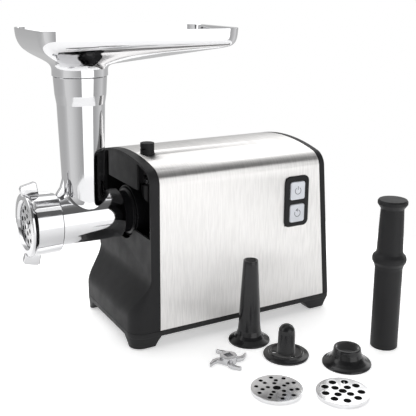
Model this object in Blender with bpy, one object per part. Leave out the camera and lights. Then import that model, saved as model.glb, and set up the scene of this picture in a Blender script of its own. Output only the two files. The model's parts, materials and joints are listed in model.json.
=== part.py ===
"""Electric meat grinder with its hopper, cutting head, gear train, motor and loose attachments.

Units in the tables below are millimetres; the mesh is written in metres with +Z up.
The head points to -X and the control side faces -Y.
"""

import math

import bmesh
import bpy
from mathutils import Matrix, Vector

MM = 0.001
# Offset that puts the middle of the floor area under the origin.
SHIFT = (63.0, 115.5, 0.0)
GAP = 0.4

# Body shell
HALF_W = 85.0
CROWN_R = 272.0
CROWN_Z = 238.5
CORNER_R = 20.0
COVER_X0 = -127.1
PANEL_X = -139.5
STRIP_X = -127.5
SHELL_Z = 22.0
REAR_X_LOW = 128.0
REAR_SLOPE = 15.5 / 185.0
REAR_T = 10.0
SHEET = 1.2
ARM = 3.2
BLOCK_Y = 46.0
BLOCK_Z = 197.5
OPEN_Z = 143.0

# Base
BASE_Z0 = 14.5
FRONT_X = -165.0
REAR_X = 138.4

# Head, along X at HEAD_Z
HEAD_Z = 158.7
TUBE_X = -192.7
NUT_X0 = -270.0
NUT_X1 = -230.0
BARREL_R = 32.0
BORE_R = 27.4
NECK_R = 30.4
SOCKET_R = 31.0
RIM_Z = 395.0
TRAY_X0 = -258.0
TRAY_X1 = 2.0
TRAY_HALF_W = 65.0

# Gear train: (teeth, module) of each mesh, motor first
MOTOR_YZ = (0.0, 75.0)
GEAR2_Y = 14.0
PRESSURE = math.radians(25.0)

SCENE = bpy.context.scene
MATERIALS = {
    "black_abs": ((0.022, 0.022, 0.024), 0.42, 0.0),
    "dark_abs": ((0.016, 0.016, 0.018), 0.5, 0.0),
    "gloss_black": ((0.010, 0.010, 0.011), 0.14, 0.0),
    "matte_black": ((0.020, 0.020, 0.020), 0.6, 0.0),
    "brushed_steel": ((0.70, 0.70, 0.71), 0.30, 1.0),
    "chrome": ((0.86, 0.86, 0.87), 0.07, 1.0),
    "steel": ((0.60, 0.60, 0.61), 0.25, 1.0),
    "button_white": ((0.72, 0.74, 0.80), 0.35, 0.0),
    "rubber": ((0.03, 0.03, 0.03), 0.8, 0.0),
    "nylon": ((0.80, 0.78, 0.72), 0.45, 0.0),
    "copper": ((0.72, 0.32, 0.16), 0.35, 1.0),
    "lamination": ((0.33, 0.33, 0.35), 0.5, 1.0),
    "alloy": ((0.55, 0.56, 0.57), 0.45, 1.0),
    "board_green": ((0.03, 0.16, 0.07), 0.5, 0.0),
    "brass": ((0.72, 0.52, 0.22), 0.3, 1.0),
}


def clear_scene():
    for obj in list(bpy.data.objects):
        bpy.data.objects.remove(obj, do_unlink=True)


def material(name, kind):
    """One material slot of its own for each part."""
    colour, roughness, metallic = MATERIALS[kind]
    mat = bpy.data.materials.new(name)
    mat.use_nodes = True
    shader = mat.node_tree.nodes["Principled BSDF"]
    shader.inputs["Base Color"].default_value = (*colour, 1.0)
    shader.inputs["Roughness"].default_value = roughness
    shader.inputs["Metallic"].default_value = metallic
    mat.diffuse_color = (*colour, 1.0)
    return mat


def mesh_object(name, bm):
    """Turns a bmesh in millimetres into an object in metres."""
    bmesh.ops.remove_doubles(bm, verts=bm.verts, dist=0.0005)
    bmesh.ops.recalc_face_normals(bm, faces=bm.faces)
    bmesh.ops.transform(bm, matrix=Matrix.Scale(MM, 4) @ Matrix.Translation(Vector(SHIFT)), verts=bm.verts)
    mesh = bpy.data.meshes.new(name)
    bm.to_mesh(mesh)
    bm.free()
    obj = bpy.data.objects.new(name, mesh)
    SCENE.collection.objects.link(obj)
    return obj


def combine(target, cutters, operation):
    """Applies Booleans with the exact solver and removes the helpers."""
    for cutter in cutters:
        mod = target.modifiers.new(operation.lower(), "BOOLEAN")
        mod.operation = operation
        mod.solver = "EXACT"
        mod.object = cutter
    bpy.context.view_layer.update()
    graph = bpy.context.evaluated_depsgraph_get()
    result = bpy.data.meshes.new_from_object(target.evaluated_get(graph))
    target.modifiers.clear()
    old = target.data
    target.data = result
    bpy.data.meshes.remove(old)
    for cutter in cutters:
        bpy.data.objects.remove(cutter, do_unlink=True)
    return target


def cut(target, *cutters):
    return combine(target, cutters, "DIFFERENCE")


def join(target, *others):
    return combine(target, others, "UNION")


def finish(obj, kind, smooth=True, angle=32.0):
    """Gives the part its material, and smooth shading up to the given edge angle."""
    obj.data.materials.clear()
    obj.data.materials.append(material(obj.name, kind))
    bm = bmesh.new()
    bm.from_mesh(obj.data)
    bmesh.ops.remove_doubles(bm, verts=bm.verts, dist=2e-6)
    bmesh.ops.dissolve_degenerate(bm, edges=bm.edges, dist=1e-6)
    bmesh.ops.triangulate(bm, faces=[f for f in bm.faces if len(f.verts) > 4])
    for face in bm.faces:
        face.smooth = smooth
    for edge in bm.edges:
        edge.smooth = len(edge.link_faces) == 2 and edge.calc_face_angle(0.0) < math.radians(angle)
    bm.to_mesh(obj.data)
    bm.free()
    return obj


def on_axis(axis, u, v, w):
    """Places profile point (u, v) at distance w along the axis."""
    if axis == "x":
        return (w, u, v)
    if axis == "y":
        return (u, w, v)
    return (u, v, w)


def loft(name, rings, closed_ends=True):
    """Skins a list of rings that all have the same number of points."""
    bm = bmesh.new()
    rows = [[bm.verts.new(p) for p in ring] for ring in rings]
    count = len(rings[0])
    for lower, upper in zip(rows, rows[1:]):
        for i in range(count):
            j = (i + 1) % count
            bm.faces.new((lower[i], lower[j], upper[j], upper[i]))
    if closed_ends:
        bm.faces.new(rows[0][::-1])
        bm.faces.new(rows[-1])
    else:
        for i in range(count):
            j = (i + 1) % count
            bm.faces.new((rows[-1][i], rows[-1][j], rows[0][j], rows[0][i]))
    return mesh_object(name, bm)


def prism(name, profile, axis, w0, w1):
    """Extrudes a closed profile between two distances along an axis."""
    return loft(name, [[on_axis(axis, u, v, w) for u, v in profile] for w in (w0, w1)])


def box(name, x0, x1, y0, y1, z0, z1):
    return prism(name, [(x0, y0), (x1, y0), (x1, y1), (x0, y1)], "z", z0, z1)


def disc(radius, count, centre=(0.0, 0.0), turn=0.0):
    steps = [turn + 2 * math.pi * k / count for k in range(count)]
    return [(centre[0] + radius * math.cos(a), centre[1] + radius * math.sin(a)) for a in steps]


def rod(name, axis, centre, radius, w0, w1, count=32, turn=0.0):
    return prism(name, disc(radius, count, centre, turn), axis, w0, w1)


def turned(name, axis, centre, profile, count=48):
    """Revolves a closed (radius, distance) outline; radius 0 is allowed at its ends."""
    bm = bmesh.new()
    steps = [2 * math.pi * k / count for k in range(count)]
    rows = []
    for radius, w in profile:
        if radius < 1e-6:
            rows.append([bm.verts.new(on_axis(axis, centre[0], centre[1], w))] * count)
        else:
            rows.append(
                [
                    bm.verts.new(
                        on_axis(axis, centre[0] + radius * math.cos(a), centre[1] + radius * math.sin(a), w)
                    )
                    for a in steps
                ]
            )
    for index, lower in enumerate(rows):
        upper = rows[(index + 1) % len(rows)]
        for i in range(count):
            j = (i + 1) % count
            corners = []
            for vert in (lower[i], lower[j], upper[j], upper[i]):
                if vert not in corners:
                    corners.append(vert)
            if len(corners) > 2:
                bm.faces.new(corners)
    return mesh_object(name, bm)


def rounded_rect(u0, u1, v0, v1, radius, steps=5):
    """Outline with rounded corners, counter-clockwise."""
    points = []
    corners = ((u1 - radius, v1 - radius, 0), (u0 + radius, v1 - radius, 90))
    corners += ((u0 + radius, v0 + radius, 180), (u1 - radius, v0 + radius, 270))
    for cu, cv, start in corners:
        for k in range(steps + 1):
            a = math.radians(start + 90.0 * k / steps)
            points.append((cu + radius * math.cos(a), cv + radius * math.sin(a)))
    return points


def corner_outline(u0, u1, v0, v1, radii, steps=4):
    """Outline with its own radius at each corner, from (u1, v1) counter-clockwise."""
    points = []
    corners = ((u1, v1, -1, -1, 0), (u0, v1, 1, -1, 90), (u0, v0, 1, 1, 180), (u1, v0, -1, 1, 270))
    for (cu, cv, du, dv, start), radius in zip(corners, radii):
        for k in range(steps + 1):
            a = math.radians(start + 90.0 * k / steps)
            points.append((cu + du * radius + radius * math.cos(a), cv + dv * radius + radius * math.sin(a)))
    return points


def arch(inset, z0, corner_steps=6, crown_steps=8):
    """Open outline of the roofed body section, from (+y, z0) over the roof to (-y, z0)."""
    corner_y = HALF_W - CORNER_R
    crown_cz = CROWN_Z - CROWN_R
    reach = CROWN_R - CORNER_R
    corner_z = crown_cz + math.sqrt(reach**2 - corner_y**2)
    meet = math.atan2(corner_z - crown_cz, corner_y)
    half = [(HALF_W - inset, z0)]
    for k in range(corner_steps + 1):
        a = meet * k / corner_steps
        r = CORNER_R - inset
        half.append((corner_y + r * math.cos(a), corner_z + r * math.sin(a)))
    for k in range(1, crown_steps // 2 + 1):
        a = meet + (math.pi / 2 - meet) * 2 * k / crown_steps
        r = CROWN_R - inset
        half.append((r * math.cos(a), crown_cz + r * math.sin(a)))
    return half + [(-y, z) for y, z in half[-2::-1]]


def rear_x(z):
    """Plane of the slanted rear edge of the cover."""
    return REAR_X_LOW - (z - SHELL_Z) * REAR_SLOPE


def arch_band(name, outer, inner, x_front, x_rear):
    """Bent sheet between two open outlines; x_front and x_rear give the ends for each height."""
    outline = outer + inner[::-1]
    rings = [[(f(z), y, z) for y, z in outline] for f in (x_front, x_rear)]
    bm = bmesh.new()
    rows = [[bm.verts.new(p) for p in ring] for ring in rings]
    count = len(outline)
    for i in range(count):
        j = (i + 1) % count
        bm.faces.new((rows[0][i], rows[0][j], rows[1][j], rows[1][i]))
    for row in rows:
        for i in range(len(outer) - 1):
            bm.faces.new((row[i], row[i + 1], row[count - 2 - i], row[count - 1 - i]))
    return mesh_object(name, bm)


def smoothstep(t):
    t = min(1.0, max(0.0, t))
    return t * t * (3 - 2 * t)


def panel_x(z):
    """Front face of the housing: upright above, sweeping forward to the base."""
    return PANEL_X + (FRONT_X - PANEL_X) * smoothstep((90.0 - z) / 50.0)


def plan_ring(front, half_w, radius, z, inset=0.0, rear=STRIP_X, steps=6):
    """Plan outline of the flared front: straight at the rear, rounded at both front corners."""
    r = max(radius - inset, 0.6)
    x0 = front + inset
    w = half_w - inset
    points = [(rear, w, z)]
    for k in range(steps + 1):
        a = math.radians(90.0 * k / steps)
        points.append((x0 + r - r * math.sin(a), w - r + r * math.cos(a), z))
    points += [(x, -y, z) for x, y, _ in points[::-1]]
    return points


def flare(name, inset, rear, z_low, z_high):
    """Lower front of the housing, lofted over height."""
    heights = [z_low, 36.0, 44.0, 52.0, 60.0, 68.0, 76.0, 84.0, z_high]
    rings = []
    for z in heights:
        grow = smoothstep((92.0 - z) / 52.0)
        rings.append(plan_ring(panel_x(z), HALF_W, 1.5 + 18.0 * grow, z, inset, rear))
    return loft(name, rings)


def pocket_outline(side):
    """Opening between the centre block, the side arm and the roof."""
    points = [(y, z) for y, z in arch(ARM, BLOCK_Z) if y > BLOCK_Y + 0.5]
    points.append((BLOCK_Y, CROWN_Z - CROWN_R + math.sqrt((CROWN_R - ARM) ** 2 - BLOCK_Y**2)))
    points.append((BLOCK_Y, BLOCK_Z))
    return points if side > 0 else [(-y, z) for y, z in points[::-1]]


def build_front_housing():
    skirt = flare("flare", 0.0, STRIP_X, SHELL_Z + GAP, 92.0)
    outline = arch(0.0, 90.0)
    body = prism("front_housing", outline, "x", PANEL_X, STRIP_X)
    join(body, skirt)
    cavity = prism("cavity", arch(2.8, 88.0), "x", PANEL_X + 3.0, STRIP_X + 8.0)
    low_cavity = flare("low_cavity", 2.8, STRIP_X + 8.0, SHELL_Z - 3.0, 90.5)
    join(cavity, low_cavity)
    cut(body, cavity)
    # Hidden rim that goes under the cover.
    rim = arch_band("rim", arch(1.6, SHELL_Z + GAP), arch(3.6, SHELL_Z + GAP), lambda z: -129.0, lambda z: -123.8)
    join(body, rim)
    # Open corners beside the flush centre block, and the gap that the socket stands in.
    for side in (-1, 1):
        cut(body, prism("pocket", pocket_outline(side), "x", PANEL_X - 1.0, PANEL_X + 3.5))
    y = HALF_W - ARM
    gap = [(-y, OPEN_Z), (y, OPEN_Z), (y, BLOCK_Z + 0.4), (-y, BLOCK_Z + 0.4)]
    cut(body, prism("gap", gap, "x", PANEL_X - 1.0, PANEL_X + 3.5))
    cut(body, rod("hole", "x", (0.0, HEAD_Z), 35.6, PANEL_X - 2.0, PANEL_X + 6.0, 32))
    return finish(body, "black_abs")


def build_cover():
    cover = arch_band(
        "steel_cover",
        arch(0.0, SHELL_Z + GAP),
        arch(SHEET, SHELL_Z + GAP),
        lambda z: COVER_X0,
        rear_x,
    )
    window = box("window", 57.6, 93.4, -90.0, -80.0, 131.6, 198.4)
    knob_hole = rod("knob_hole", "z", (-114.0, -22.0), 9.6, 220.0, 250.0, 24)
    cut(cover, window, knob_hole)
    return finish(cover, "brushed_steel", angle=24.0)


def build_rear_housing():
    z0 = SHELL_Z + GAP
    outline = arch(0.0, z0)
    small = arch(1.8, z0)
    inner = arch(2.8, z0 - 3.0)
    rings = [
        [(rear_x(z) + 0.4, y, z) for y, z in outline],
        [(rear_x(z) + REAR_T - 2.5, y, z) for y, z in outline],
        [(rear_x(z) + REAR_T, y, z) for y, z in small],
    ]
    body = loft("rear_housing", rings)
    cavity = loft("cavity", [[(rear_x(z) + w, y, z) for y, z in inner] for w in (-8.0, REAR_T - 3.0)])
    cut(body, cavity)
    rim = arch_band(
        "rim",
        arch(1.6, z0),
        arch(3.6, z0),
        lambda z: rear_x(z) - 7.0,
        lambda z: rear_x(z) + 1.5,
    )
    join(body, rim)
    slots = []
    for k in range(7):
        z = 92.0 + 9.0 * k
        slots.append(box("slot", 90.0, 150.0, -45.0, 45.0, z, z + 3.6))
    slots.append(rod("inlet", "x", (45.0, 45.0), 9.4, 110.0, 150.0, 14))
    cut(body, *slots)
    return finish(body, "black_abs")


FEET = ((-1, -1), (-1, 1), (1, -1), (1, 1))
FOOT_FRONT = (-164.5, -124.0, -163.2, -131.5)
FOOT_REAR = (94.0, 137.8, 106.0, 134.0)
FOOT_Y = (84.5, 53.5, 83.2, 63.5)


def foot_block(end, side):
    """Corner foot under the base, with sloping inner faces."""
    span = FOOT_FRONT if end < 0 else FOOT_REAR
    rings = []
    for z, t in ((2.0, 1.06), (4.0, 0.96), (9.0, 0.55), (BASE_Z0 + 1.0, 0.0)):
        x0, x1 = (span[k] + (span[k + 2] - span[k]) * t for k in (0, 1))
        far, near = (side * (FOOT_Y[k] + (FOOT_Y[k + 2] - FOOT_Y[k]) * t) for k in (0, 1))
        outer = 19.2 - 3.0 * t if end < 0 else 3.6 + 2.0 * t
        radii = [3.0, 3.0, 3.0, 3.0]
        radii[(1 if side > 0 else 2) if end < 0 else (0 if side > 0 else 3)] = outer
        rings.append([(x, y, z) for x, y in corner_outline(x0, x1, min(far, near), max(far, near), radii)])
    return loft("foot", rings)


def base_outline(inset, z):
    rear = max(4.0 - inset, 0.8)
    radii = (rear, 20.0 - inset, 20.0 - inset, rear)
    outline = corner_outline(FRONT_X + inset, REAR_X - inset, -HALF_W + inset, HALF_W - inset, radii)
    return [(x, y, z) for x, y in outline]


def build_base():
    body = loft("base_tray", [base_outline(1.6, BASE_Z0), base_outline(0.0, BASE_Z0 + 2.0), base_outline(0.0, SHELL_Z)])
    well = loft("well", [base_outline(3.2, BASE_Z0 + 3.0), base_outline(3.2, SHELL_Z + 4.0)])
    cut(body, well)
    for end, side in FEET:
        join(body, foot_block(end, side))
    cutters = []
    for k in range(6):
        x = -42.0 + 14.0 * k
        cutters.append(box("vent", x, x + 5.0, -30.0, 30.0, 0.0, 20.0))
    for x, y in screw_points():
        cutters.append(rod("screw_hole", "z", (x, y), 2.6, 0.0, 30.0, 10))
        cutters.append(rod("screw_sink", "z", (x, y), 4.7, 0.0, BASE_Z0 + 1.0, 10))
    for end, side in FEET:
        cutters.append(rod("pad_hole", "z", foot_centre(end, side), 7.6, 0.0, 4.4, 14))
    cut(body, *cutters)
    finish(body, "dark_abs")
    for k, (x, y) in enumerate(screw_points(), 1):
        profile = [(0.0, 11.8), (4.2, 11.8), (4.2, 14.8), (2.2, 14.8), (2.2, 21.6), (0.0, 21.6)]
        finish(turned("base_screw_%d" % k, "z", (x, y), profile, 10), "steel")
    for k, foot in enumerate(FEET, 1):
        x, y = foot_centre(*foot)
        profile = [(0.0, 0.0), (6.2, 0.0), (7.0, 0.8), (7.0, 4.0), (0.0, 4.0)]
        finish(turned("foot_pad_%d" % k, "z", (x, y), profile, 14), "rubber")
    return body


def foot_centre(end, side):
    span = FOOT_FRONT if end < 0 else FOOT_REAR
    return (span[2] + span[3]) / 2, side * (FOOT_Y[2] + FOOT_Y[3]) / 2


def screw_points():
    return [(-100.0, -60.0), (-100.0, 60.0), (76.0, -60.0), (76.0, 60.0)]


def build_controls():
    x0, x1, z0, z1 = 56.5, 95.0, 130.5, 200.0
    bezel_front = loft(
        "control_bezel",
        [
            [(x, -HALF_W - 0.3, z) for x, z in rounded_rect(x0, x1, z0, z1, 5.0)],
            [(x, -HALF_W - 1.6, z) for x, z in rounded_rect(x0, x1, z0, z1, 5.0)],
            [(x, -HALF_W - 2.4, z) for x, z in rounded_rect(x0 + 0.8, x1 - 0.8, z0 + 0.8, z1 - 0.8, 4.2)],
        ],
    )
    neck = box("neck", 58.2, 92.8, -HALF_W - 1.0, -62.0, 132.2, 197.8)
    join(bezel_front, neck)
    wells = [box("well", 60.2, 90.8, -80.0, -50.0, 120.0, 210.0)]
    for low in (136.2, 167.3):
        wells.append(
            prism("well", rounded_rect(64.6, 90.4, low, low + 25.8, 3.0, 3), "y", -HALF_W - 4.0, -70.0)
        )
    cut(bezel_front, *wells)
    finish(bezel_front, "black_abs")
    for name, low in (("power_button", 167.3 + 0.6), ("reverse_button", 136.2 + 0.6)):
        face = loft(
            name,
            [
                [(x, -81.0, z) for x, z in rounded_rect(65.2, 89.8, low, low + 24.6, 2.6, 3)],
                [(x, -87.9, z) for x, z in rounded_rect(65.2, 89.8, low, low + 24.6, 2.6, 3)],
                [(x, -88.7, z) for x, z in rounded_rect(66.0, 89.0, low + 0.8, low + 23.8, 2.0, 3)],
            ],
        )
        stem = box("stem", 75.0, 80.0, -82.0, -74.2, low + 9.8, low + 14.8)
        join(face, stem)
        finish(face, "button_white")
        switch = box(name.replace("button", "switch"), 69.0, 86.0, -71.4, -61.0, low + 3.0, low + 21.6)
        cut(switch, box("port", 74.2, 80.8, -73.0, -66.0, low + 9.0, low + 15.6))
        finish(switch, "dark_abs", False)
    board = box("control_board", 58.4, 92.6, -60.6, -59.0, 132.4, 197.6)
    finish(board, "board_green", False)


def build_lock():
    x, y = -114.0, -22.0
    profile = [(0.0, 176.0), (3.0, 176.0), (3.6, 177.0), (3.6, 206.0), (5.6, 206.0), (5.6, 208.0), (3.6, 208.0)]
    profile += [(3.6, 232.0), (9.0, 232.0), (9.0, 250.6), (8.0, 251.6), (0.0, 251.6)]
    knob = turned("lock_knob", "z", (x, y), profile, 18)
    cut(knob, box("notch", x - 12.0, x - 5.0, y - 12.0, y + 12.0, 243.6, 245.4))
    finish(knob, "black_abs")
    # Return spring under the collar, standing on the socket housing.
    points = []
    turns, coils, wire = 40, 5.0, 0.55
    rings = []
    for k in range(turns + 1):
        a = 2 * math.pi * coils * k / turns
        z = 196.6 + 8.4 * k / turns
        centre = Vector((x + 4.9 * math.cos(a), y + 4.9 * math.sin(a), z))
        out = Vector((math.cos(a), math.sin(a), 0.0))
        points.append(centre)
        rings.append([centre + wire * (out * math.cos(b) + Vector((0, 0, 1)) * math.sin(b)) for b in (0.0, 2.1, 4.2)])
    finish(loft("lock_spring", rings), "steel")


def build_socket():
    """Socket sleeve for the head, joined to the front plate of the gearbox."""
    plate = prism("head_socket", arch(4.4, 44.0), "x", -96.0, -92.3)
    sleeve = rod("sleeve", "x", (0.0, HEAD_Z), 33.8, -133.5, -94.0, 32)
    boss = rod("boss", "z", (-114.0, -22.0), 8.4, 168.0, 197.0, 12)
    join(plate, sleeve, boss)
    bore = turned(
        "bore",
        "x",
        (0.0, HEAD_Z),
        [(0.0, -140.0), (32.6, -140.0), (32.6, -132.6), (SOCKET_R, -131.0), (SOCKET_R, -98.0), (0.0, -98.0)],
        32,
    )
    pin_hole = rod("pin_hole", "z", (-114.0, -22.0), 4.2, 170.0, 205.0, 12)
    seat = rod("seat", "z", (-114.0, -22.0), 7.0, 195.8, 215.0, 12)
    shaft = rod("shaft", "x", (0.0, HEAD_Z), 13.4, -100.0, -90.0, 32)
    cut(plate, bore, pin_hole, seat, shaft)
    holes = [rod("axle_hole", "x", gear_axis(k), 3.9, -100.0, -90.0, 10) for k in (1, 2)]
    cut(plate, *holes)
    return finish(plate, "dark_abs")


GEARS = {"motor": (9, 1.25), "wheel1": (36, 1.25), "pin1": (10, 1.5), "wheel2": (35, 1.5)}
GEARS.update({"pin2": (10, 2.0), "out": (30, 2.0)})


def centre_distance(first, second):
    return GEARS[first][1] * (GEARS[first][0] + GEARS[second][0]) / 2


def gear_axis(index):
    """(y, z) of gear axis 0 motor, 1 first cluster, 2 second cluster, 3 output."""
    out = (0.0, HEAD_Z)
    drop = math.sqrt(centre_distance("pin2", "out") ** 2 - GEAR2_Y**2)
    second = (GEAR2_Y, HEAD_Z - drop)
    if index == 0:
        return MOTOR_YZ
    if index == 2:
        return second
    if index == 3:
        return out
    r0 = centre_distance("motor", "wheel1")
    r2 = centre_distance("pin1", "wheel2")
    dy = second[0] - MOTOR_YZ[0]
    dz = second[1] - MOTOR_YZ[1]
    span = math.hypot(dy, dz)
    along = (r0**2 - r2**2 + span**2) / (2 * span)
    off = math.sqrt(r0**2 - along**2)
    return (MOTOR_YZ[0] + (along * dy - off * dz) / span, MOTOR_YZ[1] + (along * dz + off * dy) / span)


def bearing(first, second):
    a, b = gear_axis(first), gear_axis(second)
    return math.atan2(b[1] - a[1], b[0] - a[0])


def gear_outline(teeth, module, centre, tooth_at):
    """Involute-like teeth, thinned for free running; one tooth is centred at angle tooth_at."""
    pitch_r = module * teeth / 2
    base_r = pitch_r * math.cos(PRESSURE)
    tip_r = pitch_r + 0.8 * module
    root_r = pitch_r - 1.1 * module
    half = 0.80 * math.pi / (2 * teeth)
    inv = math.tan(PRESSURE) - PRESSURE

    def half_angle(r):
        if r <= base_r:
            return half + inv
        a = math.acos(base_r / r)
        return half + inv - (math.tan(a) - a)

    points = []
    for k in range(teeth):
        mid = tooth_at + 2 * math.pi * k / teeth
        flank = [(root_r, half_angle(root_r)), (tip_r, half_angle(tip_r))]
        for r, w in flank:
            points.append((centre[0] + r * math.cos(mid - w), centre[1] + r * math.sin(mid - w)))
        for r, w in flank[::-1]:
            points.append((centre[0] + r * math.cos(mid + w), centre[1] + r * math.sin(mid + w)))
    return points


def gear(name, key, axis_index, tooth_at, x0, x1):
    teeth, module = GEARS[key]
    return prism(name, gear_outline(teeth, module, gear_axis(axis_index), tooth_at), "x", x0, x1)


def build_gears():
    turn01 = bearing(0, 1)
    turn12 = bearing(1, 2)
    turn23 = bearing(2, 3)
    half1 = math.pi / GEARS["wheel1"][0]
    half2 = math.pi / GEARS["wheel2"][0]
    half3 = math.pi / GEARS["out"][0]
    pinion = gear("motor_pinion", "motor", 0, turn01, -60.0, -52.0)
    cut(pinion, rod("bore", "x", MOTOR_YZ, 3.1, -65.0, -45.0, 16))
    finish(pinion, "steel", False)

    first = gear("gear_one", "wheel1", 1, turn01 + math.pi + half1, -60.0, -52.5)
    join(first, gear("small", "pin1", 1, turn12, -72.0, -59.0))
    cut(first, rod("bore", "x", gear_axis(1), 4.0, -80.0, -45.0, 16))
    finish(first, "nylon", False)

    second = gear("gear_two", "wheel2", 2, turn12 + math.pi + half2, -72.0, -62.5)
    join(second, gear("small", "pin2", 2, turn23, -88.5, -71.0))
    cut(second, rod("bore", "x", gear_axis(2), 4.0, -95.0, -45.0, 16))
    finish(second, "nylon", False)

    out = gear("output_gear", "out", 3, turn23 + math.pi + half3, -88.0, -74.5)
    join(out, rod("hub", "x", gear_axis(3), 12.8, -110.0, -80.0, 32))
    join(out, rod("tail", "x", gear_axis(3), 7.0, -80.0, -51.2, 24))
    cut(out, rod("socket", "x", gear_axis(3), 9.0, -115.0, -84.0, 6))
    finish(out, "steel", False)

    for k in (1, 2):
        axle = rod("gear_axle_%d" % k, "x", gear_axis(k), 3.6, -95.6, -47.0, 16)
        finish(axle, "steel")


def build_gearbox():
    outline = rounded_rect(-48.0, 48.0, 44.0, 200.0, 10.0, 3)
    inner = rounded_rect(-45.0, 45.0, 47.0, 197.0, 7.5, 3)
    case = prism("gearbox_case", outline, "x", -91.9, -46.5)
    cut(case, prism("room", inner, "x", -95.0, -50.5))
    cutters = [rod("hole", "x", gear_axis(k), 3.9, -60.0, -40.0, 16) for k in (1, 2)]
    cutters.append(rod("hole", "x", MOTOR_YZ, 7.5, -60.0, -40.0, 24))
    cut(case, *cutters)
    finish(case, "alloy", False)
    bush = turned(
        "output_bearing",
        "x",
        (0.0, HEAD_Z),
        [(7.4, -62.0), (12.0, -62.0), (12.0, -50.9), (7.4, -50.9)],
        32,
    )
    finish(bush, "brass")


def sector(r0, r1, a0, a1, count):
    angles = [math.radians(a0 + (a1 - a0) * k / count) for k in range(count + 1)]
    outer = [(r1 * math.cos(a), MOTOR_YZ[1] + r1 * math.sin(a)) for a in angles]
    inner = [(r0 * math.cos(a), MOTOR_YZ[1] + r0 * math.sin(a)) for a in angles[::-1]]
    return outer + inner


def build_motor():
    frame = prism("motor_frame", rounded_rect(-42.0, 42.0, 33.0, 117.0, 14.0, 4), "x", -20.0, 30.0)
    bore = rod("bore", "x", MOTOR_YZ, 25.0, -25.0, 35.0, 40)
    side_a = prism("slot_a", sector(20.0, 36.5, -42.0, 42.0, 8), "x", -25.0, 35.0)
    side_b = prism("slot_b", sector(20.0, 36.5, 138.0, 222.0, 8), "x", -25.0, 35.0)
    cut(frame, bore, side_a, side_b)
    finish(frame, "lamination", False)
    for name, start in (("field_coil_top", 5.0), ("field_coil_bottom", 185.0)):
        coil = prism(name, sector(27.0, 35.5, start, start + 170.0, 16), "x", -30.0, 40.0)
        pole = prism("pole", sector(24.0, 39.0, start + 32.0, start + 138.0, 12), "x", -20.4, 30.4)
        cut(coil, pole)
        finish(coil, "copper")
    shaft = rod("motor_shaft", "x", MOTOR_YZ, 2.9, -62.0, 78.0, 16)
    finish(shaft, "steel")
    core = []
    for k in range(12):
        for r, w in ((24.2, -11.0), (24.2, 11.0), (18.0, 12.5), (18.0, 17.5)):
            a = math.radians(30.0 * k + w)
            core.append((r * math.cos(a), MOTOR_YZ[1] + r * math.sin(a)))
    armature = prism("armature_core", core, "x", -18.0, 28.0)
    cut(armature, rod("bore", "x", MOTOR_YZ, 3.3, -25.0, 35.0, 16))
    finish(armature, "lamination", False)
    drum = turned(
        "commutator",
        "x",
        MOTOR_YZ,
        [(3.3, 36.0), (11.0, 36.0), (11.0, 51.0), (3.3, 51.0)],
        24,
    )
    finish(drum, "copper")
    fan = turned(
        "cooling_fan",
        "x",
        MOTOR_YZ,
        [(3.3, 64.0), (8.0, 64.0), (8.0, 72.0), (38.0, 72.0), (38.0, 74.0), (3.3, 74.0)],
        20,
    )
    blades = []
    for k in range(8):
        a = 2 * math.pi * k / 8
        ends = []
        for r, w in ((10.0, -1.0), (36.0, -1.0), (36.0, 1.0), (10.0, 1.0)):
            y = r * math.cos(a) - w * math.sin(a)
            z = MOTOR_YZ[1] + r * math.sin(a) + w * math.cos(a)
            ends.append((y, z))
        blades.append(prism("blade", ends, "x", 64.5, 73.0))
    join(fan, *blades)
    finish(fan, "dark_abs", False)
    for name, x0, x1 in (("motor_bracket_front", -37.0, -32.0), ("motor_bracket_rear", 54.0, 59.0)):
        bar = prism(name, rounded_rect(-13.0, 13.0, 34.0, 116.0, 4.0, 3), "x", x0, x1)
        foot = -20.4 if x0 < 0 else 30.4
        lo, hi = (x0 + 1.0, foot) if x0 < 0 else (foot, x1 - 1.0)
        join(bar, box("arm", lo, hi, -13.0, 13.0, 111.4, 116.0), box("arm", lo, hi, -13.0, 13.0, 34.0, 38.6))
        cut(bar, rod("bore", "x", MOTOR_YZ, 3.3, x0 - 5.0, x1 + 5.0, 16))
        finish(bar, "alloy", False)
    for name, side in (("brush_holder_a", 1), ("brush_holder_b", -1)):
        inner, outer = sorted((side * 11.5, side * 30.0))
        holder = box(name, 40.4, 53.6, inner, outer, 70.0, 80.0)
        finish(holder, "brass", False)
    for name, x0 in (("motor_saddle_front", -17.0), ("motor_saddle_rear", 17.0)):
        saddle = box(name, x0, x0 + 10.0, -36.0, 36.0, BASE_Z0 + 3.4, 32.6)
        cut(saddle, box("gap", x0 - 1.0, x0 + 11.0, -22.0, 22.0, 10.0, 27.0))
        finish(saddle, "rubber", False)


def helix(name, x0, x1, turns, core, rim, steps):
    """Screw with one flight: a section with one bump, twisted along X."""
    angles = (-160, -120, -80, -45, -20, -13, 13, 20, 45, 80, 120, 160)
    rings = []
    for k in range(steps + 1):
        t = k / steps
        twist = -2 * math.pi * turns * t
        taper = min(1.0, 0.25 + 6.0 * (1.0 - t)) if t > 0.8 else 1.0
        ring = []
        for a in angles:
            r = core
            if abs(a) <= 13:
                r = core + (rim - core) * taper
            b = math.radians(a) + twist
            ring.append((x0 + (x1 - x0) * t, r * math.cos(b), HEAD_Z + r * math.sin(b)))
        rings.append(ring)
    return loft(name, rings)


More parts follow.
